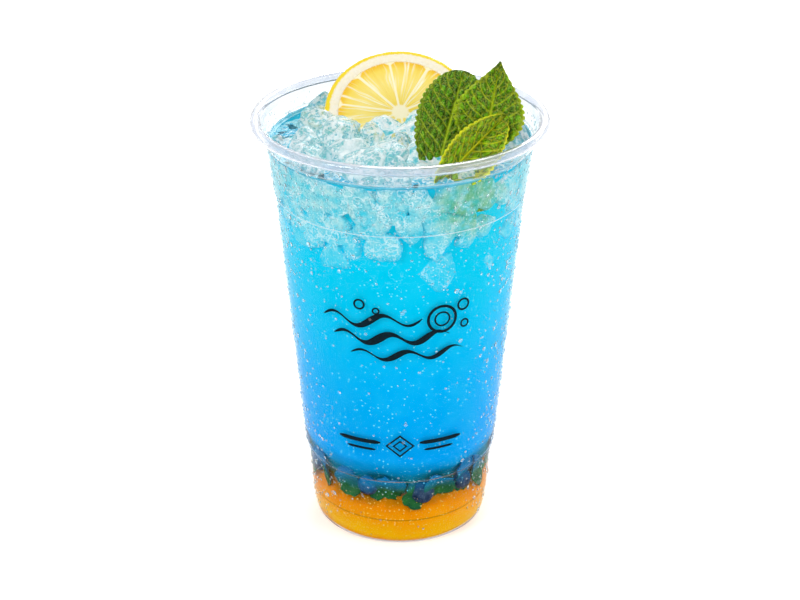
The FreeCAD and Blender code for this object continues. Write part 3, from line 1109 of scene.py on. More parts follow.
def strewing_tree() -> bpy.types.NodeTree:
    """Build the tree that strews one shape at random over a surface."""
    numbers = dict.fromkeys(("Density", "Smallest", "Largest", "Crowding"), "Float")
    takes = {"Geometry": "Geometry", **numbers, "Seed": "Int", "Shape": "Object", "Finish": "Material"}
    tree = Tree.group("strew_over_surface", "Geometry", takes, ("Geometry", "Geometry"))
    share = tree.add("GeometryNodeInputNamedAttribute", "Attribute", {"Name": "density"}, data_type="FLOAT")
    seed = tree.given("Seed")
    feeds = {"Mesh": tree.given("Geometry"), "Density": share * tree.given("Density"), "Seed": seed}
    points = tree.add("GeometryNodeDistributePointsOnFaces", "Points", feeds)
    chance = tree.add("FunctionNodeRandomValue", 1, {"Seed": seed}, data_type="FLOAT")
    power = chance.maths("POWER", tree.given("Crowding"))
    feeds = {
        "Points": points,
        "Rotation": points.other("Rotation"),
        "Instance": tree.add("GeometryNodeObjectInfo", "Geometry", {"Object": tree.given("Shape")}),
        "Scale": power.stretch(0.0, 1.0, tree.given("Smallest"), tree.given("Largest")),
    }
    return dressed(tree, tree.add("GeometryNodeInstanceOnPoints", 0, feeds))


def setting_tree() -> bpy.types.NodeTree:
    """Build the tree that sets one of several shapes on each point."""
    takes = {"Geometry": "Geometry", "Kinds": "Collection", "Finish": "Material"}
    tree = Tree.group("set_on_points", "Geometry", takes, ("Geometry", "Geometry"))
    feeds = {"Collection": tree.given("Kinds"), "Separate Children": True, "Reset Children": True}
    kinds = tree.add("GeometryNodeCollectionInfo", 0, feeds)
    feeds = {"Points": tree.given("Geometry"), "Instance": kinds, "Pick Instance": True}
    for name, kind, target in (
        ("kind", "INT", "Instance Index"),
        ("turn", "FLOAT_VECTOR", "Rotation"),
        ("size", "FLOAT_VECTOR", "Scale"),
    ):
        read = tree.add("GeometryNodeInputNamedAttribute", "Attribute", {"Name": name}, data_type=kind)
        feeds[target] = read
    return dressed(tree, tree.add("GeometryNodeInstanceOnPoints", 0, feeds))


def grown(name: str, base: Piece, tree: Any, **inputs: Any) -> Piece:
    """Run a tree on an object, which is removed, and keep its result as a plain mesh.

    Args:
        name: Name of the new piece.
        base: Object that the tree starts from.
        tree: The tree.
        **inputs: Values of its named inputs.

    Returns:
        The new piece.
    """
    modifier = base.modifiers.new(name, "NODES")
    modifier.node_group = tree
    for item in tree.interface.items_tree:
        if item.in_out == "INPUT" and item.name in inputs:
            modifier[item.identifier] = inputs[item.name]
    view = bpy.context.evaluated_depsgraph_get()
    view.update()
    mesh = bpy.data.meshes.new_from_object(base.evaluated_get(view), depsgraph=view)
    mesh.name = name
    bpy.data.objects.remove(base)
    return linked(bpy.data.objects.new(name, mesh))


def strewn(name: str, ground: Piece, drop: tuple, finish: Material, radii: tuple, **inputs: Any) -> Piece:
    """Strew one shape over a surface.

    Args:
        name: Name of the new piece.
        ground: The surface, which is removed.
        drop: Points and faces of the shape, of radius 1.
        finish: Its material.
        radii: Least and greatest radius.
        **inputs: Further inputs of the tree.

    Returns:
        The new piece.
    """
    shape = new_piece(f"{name}_shape", drop[0] / MM, drop[1])
    tree = bpy.data.node_groups.get("strew_over_surface") or strewing_tree()
    sizes = {"Smallest": radii[0] * MM, "Largest": radii[1] * MM}
    piece = grown(name, ground, tree, Shape=shape, Finish=finish, **sizes, **inputs)
    bpy.data.objects.remove(shape)
    return piece


def set_out(name: str, places: np.ndarray, shapes: list, finish: Material, **fields: np.ndarray) -> Piece:
    """Set one of several shapes on each place.

    Args:
        name: Name of the new piece.
        places: The places.
        shapes: Points, faces and fields of each kind.
        finish: Its material.
        **fields: Kind, turn and size at each place.

    Returns:
        The new piece.
    """
    kinds = bpy.data.collections.new(f"{name}_kinds")
    for number, (points, faces, own) in enumerate(shapes):
        shape = face_outward(new_piece(f"{name}_kinds_{number}", points, faces, None, own))
        bpy.context.scene.collection.objects.unlink(shape)
        kinds.objects.link(shape)
    base = new_piece(f"{name}_points", places, [])
    for key, values in fields.items():
        keep_field(base.data, key, values, "INT" if key == "kind" else "FLOAT_VECTOR")
    tree = bpy.data.node_groups.get("set_on_points") or setting_tree()
    piece = grown(name, base, tree, Kinds=kinds, Finish=finish)
    for shape in list(kinds.objects):
        bpy.data.objects.remove(shape)
    bpy.data.collections.remove(kinds)
    return piece


def ray_tree(node: Piece) -> BVHTree:
    """Make a tree of a node's faces for casting rays, in metres."""
    corners = [vertex.co.copy() for vertex in node.data.vertices]
    return BVHTree.FromPolygons(corners, [face.vertices[:] for face in node.data.polygons])


def top_of(tree: BVHTree, across: float, back: float) -> float | None:
    """Height of a node's top over a place, or None where it isn't."""
    hit = tree.ray_cast(Vector((across * MM, back * MM, 0.3)), Vector((0, 0, -1)))
    return None if hit[0] is None else hit[0].z / MM


# ---------------------------------------------------------------- the cup and its drink


@dataclass
class Cup:
    """The clear cup.

    Attributes:
        rim_radius: Outer radius of the lip.
        height: Height of the lip's top.
    """

    rim_radius: float
    height: float
    lip_tube: float = 1.6
    wall: float = 0.5
    floor: float = 0.6
    punt_rise: float = 1.8
    punt_radius: float = 19.6
    ring_inner: float = 21.4
    base_radius: float = 28.8
    base_corner: float = 3.6
    crease: float = 0.45
    segments: int = 240

    def outside(self) -> list[tuple[float, float, float]]:
        """Corners of the wall's outer face: radius, height and rounding."""
        lip = self.rim_radius - 2 * self.lip_tube + self.wall
        collar = lip - 1.45
        shoulder = collar - 0.95
        band = shoulder - 2.05
        heel = self.base_radius + 1.35
        foot = heel + 0.79
        return [
            (self.base_radius, 0.0, self.base_corner),
            (heel, 10.35, self.crease),
            (foot, 26.2, self.crease),
            (foot + 1.12, 27.0, self.crease),
            (band - 0.41, self.height - 25.6, self.crease),
            (band, self.height - 25.0, self.crease),
            (shoulder, self.height - 8.0, self.crease),
            (collar, self.height - 7.2, self.crease),
            (lip, self.height - self.lip_tube, 0.0),
        ]

    def steps(self) -> tuple[tuple[float, float], ...]:
        """Lowest and highest place of each pressed step of the wall."""
        top = self.height
        return ((26.25, 26.95), (top - 25.45, top - 25.05), (top - 7.8, top - 7.3))

    def outer_radius(self, heights: np.ndarray) -> np.ndarray:
        """Outer radius of the wall at some heights."""
        outline = rounded([(self.ring_inner, 0.0, 0.0)] + self.outside(), steps=8)
        return np.interp(heights, outline[1:, 1], outline[1:, 0])

    def inner_radius(self, heights: np.ndarray) -> np.ndarray:
        """Inner radius of the wall at some heights."""
        return self.outer_radius(np.maximum(heights - self.floor, 0.02)) - self.wall

    def room(self, height: float) -> float:
        """Inner radius of the wall at one height."""
        return float(self.inner_radius(np.array([height]))[0])

    def section(self) -> np.ndarray:
        """The whole section of the cup, from its middle below to its middle above."""
        rise = self.punt_rise
        below = [(0.0, rise, 0.0), (self.punt_radius, rise, 0.8), (self.ring_inner, 0.0, 0.5)]
        above = [(across, up + self.floor, soft) for across, up, soft in below]
        inner = [(across - self.wall, up, soft) for across, up, soft in self.outside()]
        inner[0] = (inner[0][0], self.floor, self.base_corner - self.wall)
        middle = np.array([self.rim_radius - self.lip_tube, self.height - self.lip_tube])
        turns = np.linspace(math.pi, -math.pi / 2, 22)
        curl = np.column_stack([np.cos(turns), np.sin(turns)])
        way_up = divided(rounded(below + self.outside()), 4.0)
        way_down = divided(rounded(above + inner), 4.0)[::-1]
        curls = [middle + (self.lip_tube - self.wall) * curl, middle + self.lip_tube * curl[::-1]]
        return np.vstack([way_up[:-1], *curls, way_down[1:]])

    def build(self, level: float) -> None:
        """Build the cup.

        Args:
            level: Height of the drink in it, above which the wall is dry.
        """
        points, faces = turned(self.section(), self.segments)
        piece = face_outward(new_piece("cup_shell", points, faces, WET_WALL.build()))
        for finish in (LIP, CREASE_HIGHLIGHT, DRY_WALL):
            piece.data.materials.append(finish.build())
        centres = rows_of(piece.data.polygons, "center")
        up = centres[:, 2]
        outside = np.hypot(centres[:, 0], centres[:, 1]) > self.outer_radius(up) - 0.25
        number = np.where(up > self.height - 2 * self.lip_tube - 0.2, 1, np.where(up > level + 0.4, 3, 0))
        # Painted highlight: the outer faces of the pressed steps take the half-milky crease finish.
        for low, high in self.steps():
            number[outside & (up > low) & (up < high)] = 2
        piece.data.polygons.foreach_set("material_index", number.astype(np.int32))
        settle(piece, Slot.PLASTIC, "cup")

    def press(self, piece: Piece, gap: float, top: float = math.inf) -> tuple[np.ndarray, np.ndarray]:
        """Flatten a piece against the wall.

        Args:
            piece: The piece.
            gap: How far inside the wall it stops.
            top: Height that it doesn't pass.

        Returns:
            Its points, and how far each lies inside the wall.
        """
        points = rows_of(piece.data.vertices)
        points[:, 2] = np.minimum(points[:, 2], top)
        limit = self.inner_radius(points[:, 2]) - gap
        around = np.hypot(points[:, 0], points[:, 1])
        scale = np.minimum(1.0, limit / np.maximum(around, 0.001))
        points[:, :2] *= scale[:, None]
        piece.data.vertices.foreach_set("co", (points * MM).ravel())
        piece.data.update()
        return points, np.maximum(limit - around * scale, 0.0)


@dataclass
class Drink:
    """The clear skin of the drink, its cloudy core and the syrup.

    Attributes:
        cup: The cup that it fills.
        syrup_top: Height of the syrup.
        level: Height of the drink's surface.
        bite: How far the skin reaches into the wall.
    """

    cup: Cup
    syrup_top: float
    level: float
    bite: float = 0.22
    segments: int = 200

    def filling(self, heights: np.ndarray, radii: np.ndarray, high: float) -> np.ndarray:
        """Profile of something that stands on the cup's raised floor.

        Args:
            heights: Heights of its side, from the lowest.
            radii: Radii of its side.
            high: Height of its top.

        Returns:
            The profile, as rows of radius and height.
        """
        low, ring = heights[0], self.cup.ring_inner
        middle = low + self.cup.punt_rise
        wall = np.column_stack([radii, heights])
        base = [(0.0, middle), (self.cup.punt_radius, middle), (ring, low)]
        return np.vstack([base, wall[wall[:, 0] > ring + 0.5], [(0.0, high)]])

    def skin(self) -> None:
        """Build the clear skin, which reaches just into the wall."""
        low = self.cup.floor - self.bite
        heights = np.concatenate([np.linspace(low, 6.0, 10), np.linspace(7.0, self.level, 70)])
        profile = self.filling(heights, self.cup.inner_radius(heights) + self.bite, self.level)
        piece = new_piece("drink_skin", *turned(profile, self.segments), LIQUID.build())
        settle(face_outward(piece), Slot.DRINK, "blue_lemonade", "syrup_layer")

    def depth(self, heights: np.ndarray) -> np.ndarray:
        """How far the core lies inside the wall: deep where ice or berries sit in front of it."""
        ice = smooth_step(heights, 98.0, 120.0) * 1.2
        ice *= 1.0 - smooth_step(heights, self.level - 4.0, self.level - 1.0)
        fruit = smooth_step(heights, 13.0, 18.0) * (1.0 - smooth_step(heights, 27.0, 34.0)) * 3.4
        return 0.5 + ice + fruit

    def core(self, name: str, low: float, high: float, finish: Material) -> Piece:
        """Build a cloudy core between two heights.

        Args:
            name: Name of the piece.
            low: Its lowest height.
            high: Its highest.
            finish: Its material.

        Returns:
            The core.
        """
        heights = np.linspace(low, high, max(8, int((high - low) / 1.1)))
        radii = self.cup.inner_radius(heights) - self.depth(heights)
        profile = np.vstack([[(0.0, low)], np.column_stack([radii, heights]), [(0.0, high)]])
        if low < self.cup.punt_rise:
            profile = self.filling(heights, radii, high)
        points, faces = turned(profile, self.segments)
        around = np.hypot(points[:, 0], points[:, 1])
        swell = Grain(3).soft(points, 8.0) * 0.5 * (self.depth(points[:, 2]) > 1.0)
        scale = np.where(around > 1.0, (around + swell) / np.maximum(around, 1.0), 1.0)
        points[:, :2] *= scale[:, None]
        return face_outward(new_piece(name, points, faces, finish))

    def build(self) -> None:
        """Build the whole drink."""
        self.skin()
        blue = CloudyDrink(self.syrup_top, self.level).build()
        core = self.core("lemonade_core", self.syrup_top, self.level - 0.6, blue)
        settle(core, Slot.DRINK, "blue_lemonade")
        orange = OrangeSyrup(self.syrup_top).build()
        core = self.core("syrup_core", self.cup.floor + 0.1, self.syrup_top - 0.05, orange)
        settle(core, Slot.SYRUP, "syrup_layer")
        self.meniscus()

    def meniscus(self) -> None:
        """Build the wavy line of drink that climbs the wall."""
        steps = [(0.12, -0.3), (0.12, 0.7), (-0.25, 0.4), (-0.6, 0.15), (-1.1, 0.02), (-1.1, -0.3)]
        profile = np.array(steps) + np.array([self.cup.room(self.level), self.level])
        points, faces = turned(divided(profile, 0.5), 360, ring=True)
        wave = Grain(8).soft(points * np.array([1.0, 1.0, 0.0]), 5.0)
        points[:, 2] += smooth_step(points[:, 2], self.level - 0.2, self.level + 0.6) * 0.7 * wave
        settle(face_outward(new_piece("drink_meniscus", points, faces, BRIM.build())), Slot.DRINK)


# ---------------------------------------------------------------- small things in and on the cup


@dataclass
class Small:
    """Beads of water outside the cup, and gas bubbles just inside its wall.

    Attributes:
        cup: The cup.
        syrup_top: Height of the syrup, in which there are more bubbles.
        level: Height of the drink's surface.
    """

    cup: Cup
    syrup_top: float
    level: float

    def wall(self) -> Piece:
        """Make the surface that beads are strewn over, with more of them high up and at the sides."""
        heights, turns = np.linspace(3.0, 139.5, 90), circle(120)
        points = polar(self.cup.outer_radius(heights)[:, None], turns, heights[:, None])
        beside = np.tile(np.abs(np.cos(turns)), len(heights))
        density = 0.09 + 0.85 * smooth_step(beside, 0.6, 0.97) + 0.4 * smooth_step(points[:, 2], 80.0, 130.0)
        density *= 0.5 + (0.5 + 0.5 * Grain(61).soft(points, 14.0))
        faces = grid_faces(len(heights), len(turns))
        return new_piece("bead_ground", points, faces, None, {"density": density})

    def inside(self) -> Piece:
        """Make the surface that bubbles are strewn over."""
        heights, turns = np.linspace(8.0, self.level - 2.0, 100), circle(90)
        points = polar((self.cup.inner_radius(heights) - 0.45)[:, None], turns, heights[:, None])
        low = 1.0 - smooth_step(points[:, 2], self.syrup_top + 2.0, self.syrup_top + 16.0)
        icy = smooth_step(points[:, 2], self.level - 45.0, self.level - 10.0)
        faces = grid_faces(len(heights), len(turns))
        return new_piece("bubble_ground", points, faces, None, {"density": 0.12 + 1.7 * low + 0.9 * icy})

    def bubbles(self) -> None:
        """Build the gas bubbles."""
        finish = GasBubble(self.syrup_top).build()
        settings = {"Density": 15.0 * 1e4, "Crowding": 2.6, "Seed": 12}
        settle(strewn("gas_bubbles", self.inside(), ball(1), finish, (0.1, 0.32), **settings), Slot.DRINK)

    def beads(self) -> None:
        """Build fine and larger beads of condensation."""
        for name, drop, count, radii, crowding, seed in (
            ("fine_beads", dome(7, 2, 0.62), 16.0, (0.2, 0.5), 1.2, 4),
            ("large_beads", dome(12, 4, 0.55), 3.2, (0.45, 0.9), 2.0, 9),
        ):
            settings = {"Density": count * 1e4, "Crowding": crowding, "Seed": seed}
            settle(strewn(name, self.wall(), drop, BEAD.build(), radii, **settings), Slot.PLASTIC)


@dataclass
class SunkFruit:
    """Berries and bits of leaf that lie between the syrup and the drink.

    Attributes:
        cup: The cup that holds them.
        level: Height of their middle.
    """

    cup: Cup
    level: float

    def berry_shape(self, kind: int) -> tuple:
        """A berry of radius 1 with a crown.

        Args:
            kind: Picks its dents.

        Returns:
            Its points and faces, and no fields.
        """
        points, faces = ball(4)
        around = np.hypot(points[:, 0], points[:, 1])
        lobes = 0.12 * np.cos(5 * np.arctan2(points[:, 1], points[:, 0]))
        crown = np.exp(-(((around - 0.34 - 0.3 * lobes) / 0.09) ** 2)) * (points[:, 2] > 0)
        pit = np.exp(-((around / 0.26) ** 2)) * (points[:, 2] > 0)
        radius = 1.0 + 0.10 * crown - 0.22 * pit + 0.05 * Grain(kind).soft(points, 0.6)
        points = points * radius[:, None]
        points[:, 2] *= 0.86
        return points, faces, None

    def bit_shape(self, kind: int) -> tuple:
        """A torn piece of leaf of radius 1, bent and closed.

        Args:
            kind: Picks its edge.

        Returns:
            Its points and faces, and no fields.
        """
        rows, sides = 7, 28
        chance = np.random.default_rng(90 + kind)
        turns = circle(sides)
        edge = 1.0 + 0.22 * np.cos(2 * turns + chance.uniform(0, 6))
        edge = edge + 0.1 * np.cos(5 * turns + chance.uniform(0, 6)) + 0.06 * np.cos(11 * turns)
        top = polar(np.linspace(0.15, 1.0, rows)[:, None] * edge, turns, 0.0)
        top[:, 2] = 0.35 * top[:, 0] ** 2 * chance.uniform(-1, 1) + 0.12 * np.sin(4 * top[:, 1])
        upper = [*grid_faces(rows, sides), tuple(range(sides))]
        faces = plate(upper, list(range((rows - 1) * sides, rows * sides)), rows * sides)
        return np.vstack([top, top - np.array([0.0, 0.0, 0.09])]), faces, None

    def spread(
        self, name: str, shapes: list, size: float, rise: tuple, sink: float, look: Patchy, seed: int
    ) -> None:
        """Set shapes in a ring against the wall, each with its upper side facing it.

        Args:
            name: Name of the piece.
            shapes: Points, faces and fields of each kind.
            size: Their radius.
            rise: How many there are, and their lowest and highest place.
            sink: How far inside the wall their middles lie, in radii.
            look: Their finish.
            seed: Seed of their places.
        """
        count, low, high = rise
        chance = np.random.default_rng(seed)
        turns = (np.arange(count) + chance.uniform(-0.3, 0.3, count)) * (FULL_TURN / count)
        ups = chance.uniform(low, high, count)
        sizes = size * chance.uniform(0.8, 1.15, count)
        lean = chance.uniform(-0.45, 0.45, (count, 3))
        facing = np.column_stack([np.full(count, math.pi / 2), np.zeros(count), turns + math.pi / 2])
        places = polar(self.cup.inner_radius(ups) - sink * sizes, turns, ups)
        fields = {
            "kind": chance.integers(0, len(shapes), count),
            "turn": facing + lean,
            "size": np.repeat(sizes, 3),
        }
        finish = replace(look, veil=self.level).build()
        piece = set_out(name, places, shapes, finish, **fields)
        self.cup.press(piece, 0.15)
        settle(piece, Slot.DRINK)

    def build(self) -> None:
        """Build the berries and the bits of leaf."""
        berries = [self.berry_shape(kind) for kind in range(3)]
        rise = (9, self.level + 0.8, self.level + 3.8)
        self.spread("sunk_berries", berries, 4.4, rise, 0.85, BERRY, 51)
        bits = [self.bit_shape(kind) for kind in range(4)]
        rise = (17, self.level + 0.8 + 0.3, self.level + 4.2)
        self.spread("sunk_leaf_bits", bits, 5.6, rise, 0.4, LEAF_BIT, 57)


# ---------------------------------------------------------------- print


@dataclass(frozen=True)
class Stroke:
    """One printed line.

    Attributes:
        path: Places along it, across and up.
        widths: Its width at each place.
        closed: Whether it joins up with its start.
    """

    path: np.ndarray
    widths: np.ndarray
    closed: bool = False

    @classmethod
    def wave(
        cls, start: tuple, length: float, height: float, turns: float, width: float, rise: float
    ) -> "Stroke":
        """A wavy line that swells and tapers.

        Args:
            start: Where it starts, across and up.
            length: Its length across.
            height: Height of its waves.
            turns: How many waves.
            width: Its greatest width.
            rise: Its rise from end to end.

        Returns:
            The stroke.
        """
        share = np.linspace(0.0, 1.0, 80)
        up = start[1] + share * rise + height * np.sin(share * turns * FULL_TURN)
        taper = np.sqrt(np.clip(np.sin(math.pi * share), 0.0, 1.0))
        pressed = 0.65 + 0.35 * np.cos(share * turns * FULL_TURN)
        path = np.column_stack([start[0] + share * length, up])
        return cls(path, width * np.maximum(taper * pressed, 0.08))

    @classmethod
    def ring(cls, middle: tuple, radius: float, width: float, sides: int = 48, tall: float = 1.0) -> "Stroke":
        """A ring, or a many-sided outline.

        Args:
            middle: Its middle, across and up.
            radius: Its radius.
            width: Width of the line.
            sides: Corners of the outline.
            tall: Height of the outline as a share of its width.

        Returns:
            The stroke.
        """
        turns = circle(sides)
        across, up = middle[0] + radius * np.cos(turns), middle[1] + tall * radius * np.sin(turns)
        return cls(np.column_stack([across, up]), np.full(sides, width), True)

    @classmethod
    def bar(cls, start: tuple, end: tuple, width: float) -> "Stroke":
        """A straight line with blunt ends.

        Args:
            start: Its start, across and up.
            end: Its end.
            width: Its width.

        Returns:
            The stroke.
        """
        share = np.linspace(0.0, 1.0, 16)[:, None]
        ends = np.minimum(1.0, 0.35 + 6.0 * np.minimum(share, 1 - share).ravel())
        return cls(np.array(start) * (1 - share) + np.array(end) * share, width * ends)


@dataclass
class Print:
    """The black print on the front of the cup: waves and bubbles over a band with a lozenge.

    Attributes:
        cup: The cup that carries it.
    """

    cup: Cup
    lift: float = 0.03
    thickness: float = 0.05
    middle: float = 83.0
    band: float = 41.5

    def strokes(self) -> list[Stroke]:
        """Every line of the design, across from its middle and up from the cup's foot."""
        up, low = self.middle, self.band
        made = [
            Stroke.wave((-26.0, up + 4.5), 33.0, 2.0, 2.0, 2.3, 2.0),
            Stroke.wave((-22.0, up - 1.2), 38.0, 1.7, 2.5, 2.9, 1.0),
            Stroke.wave((-16.0, up - 7.0), 37.0, 1.5, 2.5, 2.2, 0.5),
            Stroke.ring((13.5, up + 5.6), 4.6, 0.95),
            Stroke.ring((13.5, up + 5.6), 2.4, 0.6),
            Stroke.ring((20.8, up + 9.4), 1.9, 0.7),
            Stroke.ring((21.4, up + 2.4), 1.3, 0.6),
            Stroke.ring((-13.0, up + 11.0), 1.6, 0.65),
            Stroke.ring((-7.6, up + 9.2), 1.0, 0.55),
        ]
        for side in (-1.0, 1.0):
            made.append(Stroke.bar((side * 6.4, low + 1.1), (side * 21.0, low + 1.1), 1.5))
            made.append(Stroke.bar((side * 8.0, low - 1.8), (side * 18.0, low - 1.8), 0.9))
        return made + [Stroke.ring((0.0, low), 4.4, 0.8, 4, 0.9), Stroke.ring((0.0, low), 2.1, 0.7, 4, 0.9)]

    def build(self) -> None:
        """Build the print as one thin piece that follows the wall."""
        points, faces = [], []
        for stroke in self.strokes():
            count = len(stroke.path)
            ahead = np.roll(stroke.path, -1, axis=0) - np.roll(stroke.path, 1, axis=0)
            if not stroke.closed:
                ahead[0] = stroke.path[1] - stroke.path[0]
                ahead[-1] = stroke.path[-1] - stroke.path[-2]
            beside = np.column_stack([-ahead[:, 1], ahead[:, 0]])
            beside /= np.linalg.norm(beside, axis=1)[:, None]
            left = stroke.path + beside * stroke.widths[:, None] / 2
            right = stroke.path - beside * stroke.widths[:, None] / 2
            first = sum(len(block) for block in points)
            for edge, rise in ((left, 0.0), (right, 0.0), (right, 1.0), (left, 1.0)):
                radius = self.cup.outer_radius(edge[:, 1])
                turn = edge[:, 0] / radius
                out = radius + self.lift + rise * self.thickness
                points.append(np.column_stack([out * np.sin(turn), -out * np.cos(turn), edge[:, 1]]))
            for step in range(count if stroke.closed else count - 1):
                following = (step + 1) % count
                for side in range(4):
                    low, high = first + side * count, first + (side + 1) % 4 * count
                    faces.append((low + step, low + following, high + following, high + step))
            if not stroke.closed:
                faces.append(tuple(first + side * count for side in range(4)))
                faces.append(tuple(first + side * count + count - 1 for side in range(3, -1, -1)))
        piece = new_piece("printed_lines", np.vstack(points), faces, INK.build())
        settle(face_outward(piece), Slot.PLASTIC)


# ---------------------------------------------------------------- ice


@dataclass
class Ice:
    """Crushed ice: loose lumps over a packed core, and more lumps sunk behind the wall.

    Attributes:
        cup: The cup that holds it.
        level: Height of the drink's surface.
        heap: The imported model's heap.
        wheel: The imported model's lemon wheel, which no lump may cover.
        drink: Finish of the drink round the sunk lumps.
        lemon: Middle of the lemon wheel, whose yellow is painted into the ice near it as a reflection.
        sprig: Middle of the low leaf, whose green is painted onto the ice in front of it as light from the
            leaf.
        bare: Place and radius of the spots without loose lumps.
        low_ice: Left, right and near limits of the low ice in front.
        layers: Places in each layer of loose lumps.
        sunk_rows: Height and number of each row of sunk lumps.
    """

    cup: Cup
    level: float
    heap: Piece
    wheel: Piece
    drink: CloudyDrink
    lemon: np.ndarray
    sprig: np.ndarray
    lump: float = 7.4
    sunk_lump: float = 6.4
    kinds: int = 7
    bare: tuple = ((35.5, 9.5, 8.0), (-36.0, 8.5, 8.0))
    low_ice: tuple[float, float, float] = (3.0, 36.0, -15.0)
    layers: tuple[int, int] = (40, 46)
    sunk_rows: tuple = ((131.0, 30), (126.0, 28), (120.0, 24), (114.0, 17), (107.5, 9))

    def shapes(self) -> list[tuple]:
        """Make the different lumps: blunt many-sided stones with worn corners."""
        made = []
        for kind in range(self.kinds):
            chance = np.random.default_rng(40 + kind)
            points, faces = ball(4)
            planes = chance.normal(size=(13, 3))
            planes /= np.linalg.norm(planes, axis=1)[:, None]
            facing = np.maximum(points @ planes.T, 0.0) / chance.uniform(0.66, 1.0, 13)
            two = np.sort(facing, axis=1)[:, -2:]
            # Where two facets meet; the wet ice paints these edges white as a highlight.
            edge = smooth_step(two[:, 0] / np.maximum(two[:, 1], 0.001), 0.86, 1.0)
            radius = np.minimum(np.sum(facing**22, axis=1) ** (-1.0 / 22.0), 1.22)
            radius += 0.06 * Grain(kind).soft(points, 0.5) + 0.025 * Grain(kind + 9).soft(points, 0.17)
            made.append((points * radius[:, None], faces, {"edge": edge}))
        return made

    def set_lumps(self, name: str, lumps: list, finish: Material, seed: int) -> Piece:
        """Set a lump on each place.

        Args:
            name: Name of the piece.
            lumps: Place and radius of each lump.
            finish: Their material.
            seed: Seed of the turns and kinds.

        Returns:
            The joined lumps.
        """
        chance = np.random.default_rng(seed)
        rows = np.array(lumps)
        fields = {
            "kind": chance.integers(0, self.kinds, len(rows)),
            "turn": chance.uniform(-3.1, 3.1, len(rows) * 3),
            "size": chance.uniform(0.82, 1.18, (len(rows), 3)) * rows[:, 3:],
        }
        return set_out(name, rows[:, :3], self.shapes(), finish, **fields)

    def loose(self) -> None:
        """Build the loose lumps that stand out of the drink."""
        heap, wheel = ray_tree(self.heap), ray_tree(self.wheel)
        chance = np.random.default_rng(7)
        lumps = []
        edge = self.cup.room(self.level)
        left, right, near = self.low_ice
        for layer, number in [(layer, number) for layer in (0, 1) for number in range(self.layers[layer])]:
            count = self.layers[layer]
            reach = (edge - 3.4) * math.sqrt((number + 0.5) / count)
            turn = number * GOLDEN_TURN + layer * 1.3
            across = reach * math.cos(turn) + chance.uniform(-0.8, 0.8)
            back = reach * math.sin(turn) + chance.uniform(-0.8, 0.8)
            radius = self.lump * chance.uniform(0.62, 1.0)
            if any(math.hypot(across - x, back - y) < wide for x, y, wide in self.bare):
                continue
            top = top_of(heap, across, back)
            if top is None:
                top = self.level + 1.2
                radius *= 0.6
            elif left < across < right and back < near:
                top = min(top, self.level + 1.0)
            above = top_of(wheel, across, back)
            if above is not None:
                top = min(top, above - 4.5)
            height = top - radius * 0.82 - layer * 3.0
            room = edge - 0.5 - math.hypot(across, back)
            if height > self.level - 5.0:
                lumps.append((across, back, height, min(radius, max(2.0, room + 1.0))))
        piece = self.set_lumps("ice_lumps", lumps, WetIce().build(), 5)
        points, _ = self.cup.press(piece, 0.6)
        # Painted reflection: nearness to the lemon, where its yellow is painted into the ice.
        away = np.linalg.norm(points - self.lemon, axis=1)
        keep_field(piece.data, "near", 1.0 - smooth_step(away, 22.0, 36.0))
        settle(piece, Slot.ICE, "ice_heap")

    def sunk(self) -> None:
        """Build the lumps behind the wall, under the surface."""
        chance = np.random.default_rng(19)
        lumps = []
        for row, (height, count) in enumerate(self.sunk_rows):
            for number in range(count):
                turn = FULL_TURN * (number + 0.5 * row + chance.uniform(-0.25, 0.25)) / count
                up = height + chance.uniform(-2.5, 2.5)
                radius = self.sunk_lump * chance.uniform(0.8, 1.3)
                reach = self.cup.room(up) - radius * chance.uniform(0.55, 0.9)
                lumps.append((reach * math.cos(turn), reach * math.sin(turn), up, radius))
        piece = self.set_lumps("sunk_ice", lumps, SunkIce(self.drink).build(), 23)
        points, depth = self.cup.press(piece, 0.12, self.level - 0.4)
        # Painted light: nearness to the low leaf, where its green is painted onto the ice.
        away = np.linalg.norm(points - self.sprig, axis=1)
        keep_field(piece.data, "depth", depth)
        keep_field(piece.data, "sink", 1.0 - smooth_step(points[:, 2], 100.0, 128.0))
        keep_field(piece.data, "near", 1.0 - smooth_step(away, 5.0, 17.0))
        settle(piece, Slot.ICE)

    def core(self) -> None:
        """Build the packed ice under the loose lumps."""
        heap = ray_tree(self.heap)
        rings, sectors = 30, 96
        edge = self.cup.room(self.level) - 2.5
        points = []
        for ring, sector in itertools.product(range(1, rings + 1), range(sectors)):
            turn = FULL_TURN * sector / sectors
            reach = edge * ring / rings
            across, back = reach * math.cos(turn), reach * math.sin(turn)
            top = top_of(heap, across, back)
            rise = 0.0 if top is None else max(0.0, (top - self.level) * 0.7 - 1.2)
            points.append((across, back, self.level - 0.5 + rise * (1.0 - (ring / rings) ** 6)))
        points = np.array(points)
        points[:, 2] += 0.5 * Grain(11).soft(points, 2.5)
        foot = points[-sectors:].copy()
        foot[:, 2] = self.level - 3.0
        ends = np.array([[0.0, 0.0, points[:sectors, 2].mean()], [0.0, 0.0, self.level - 3.0]])
        faces = grid_faces(rings + 1, sectors, poles=True)
        piece = new_piece("ice_core", np.vstack([points, foot, ends]), faces, IceCore(self.level).build())
        settle(face_outward(piece), Slot.ICE, "ice_heap")

    def build(self) -> None:
        """Build all the ice."""
        self.core()
        self.loose()
        self.sunk()


# ---------------------------------------------------------------- lemon


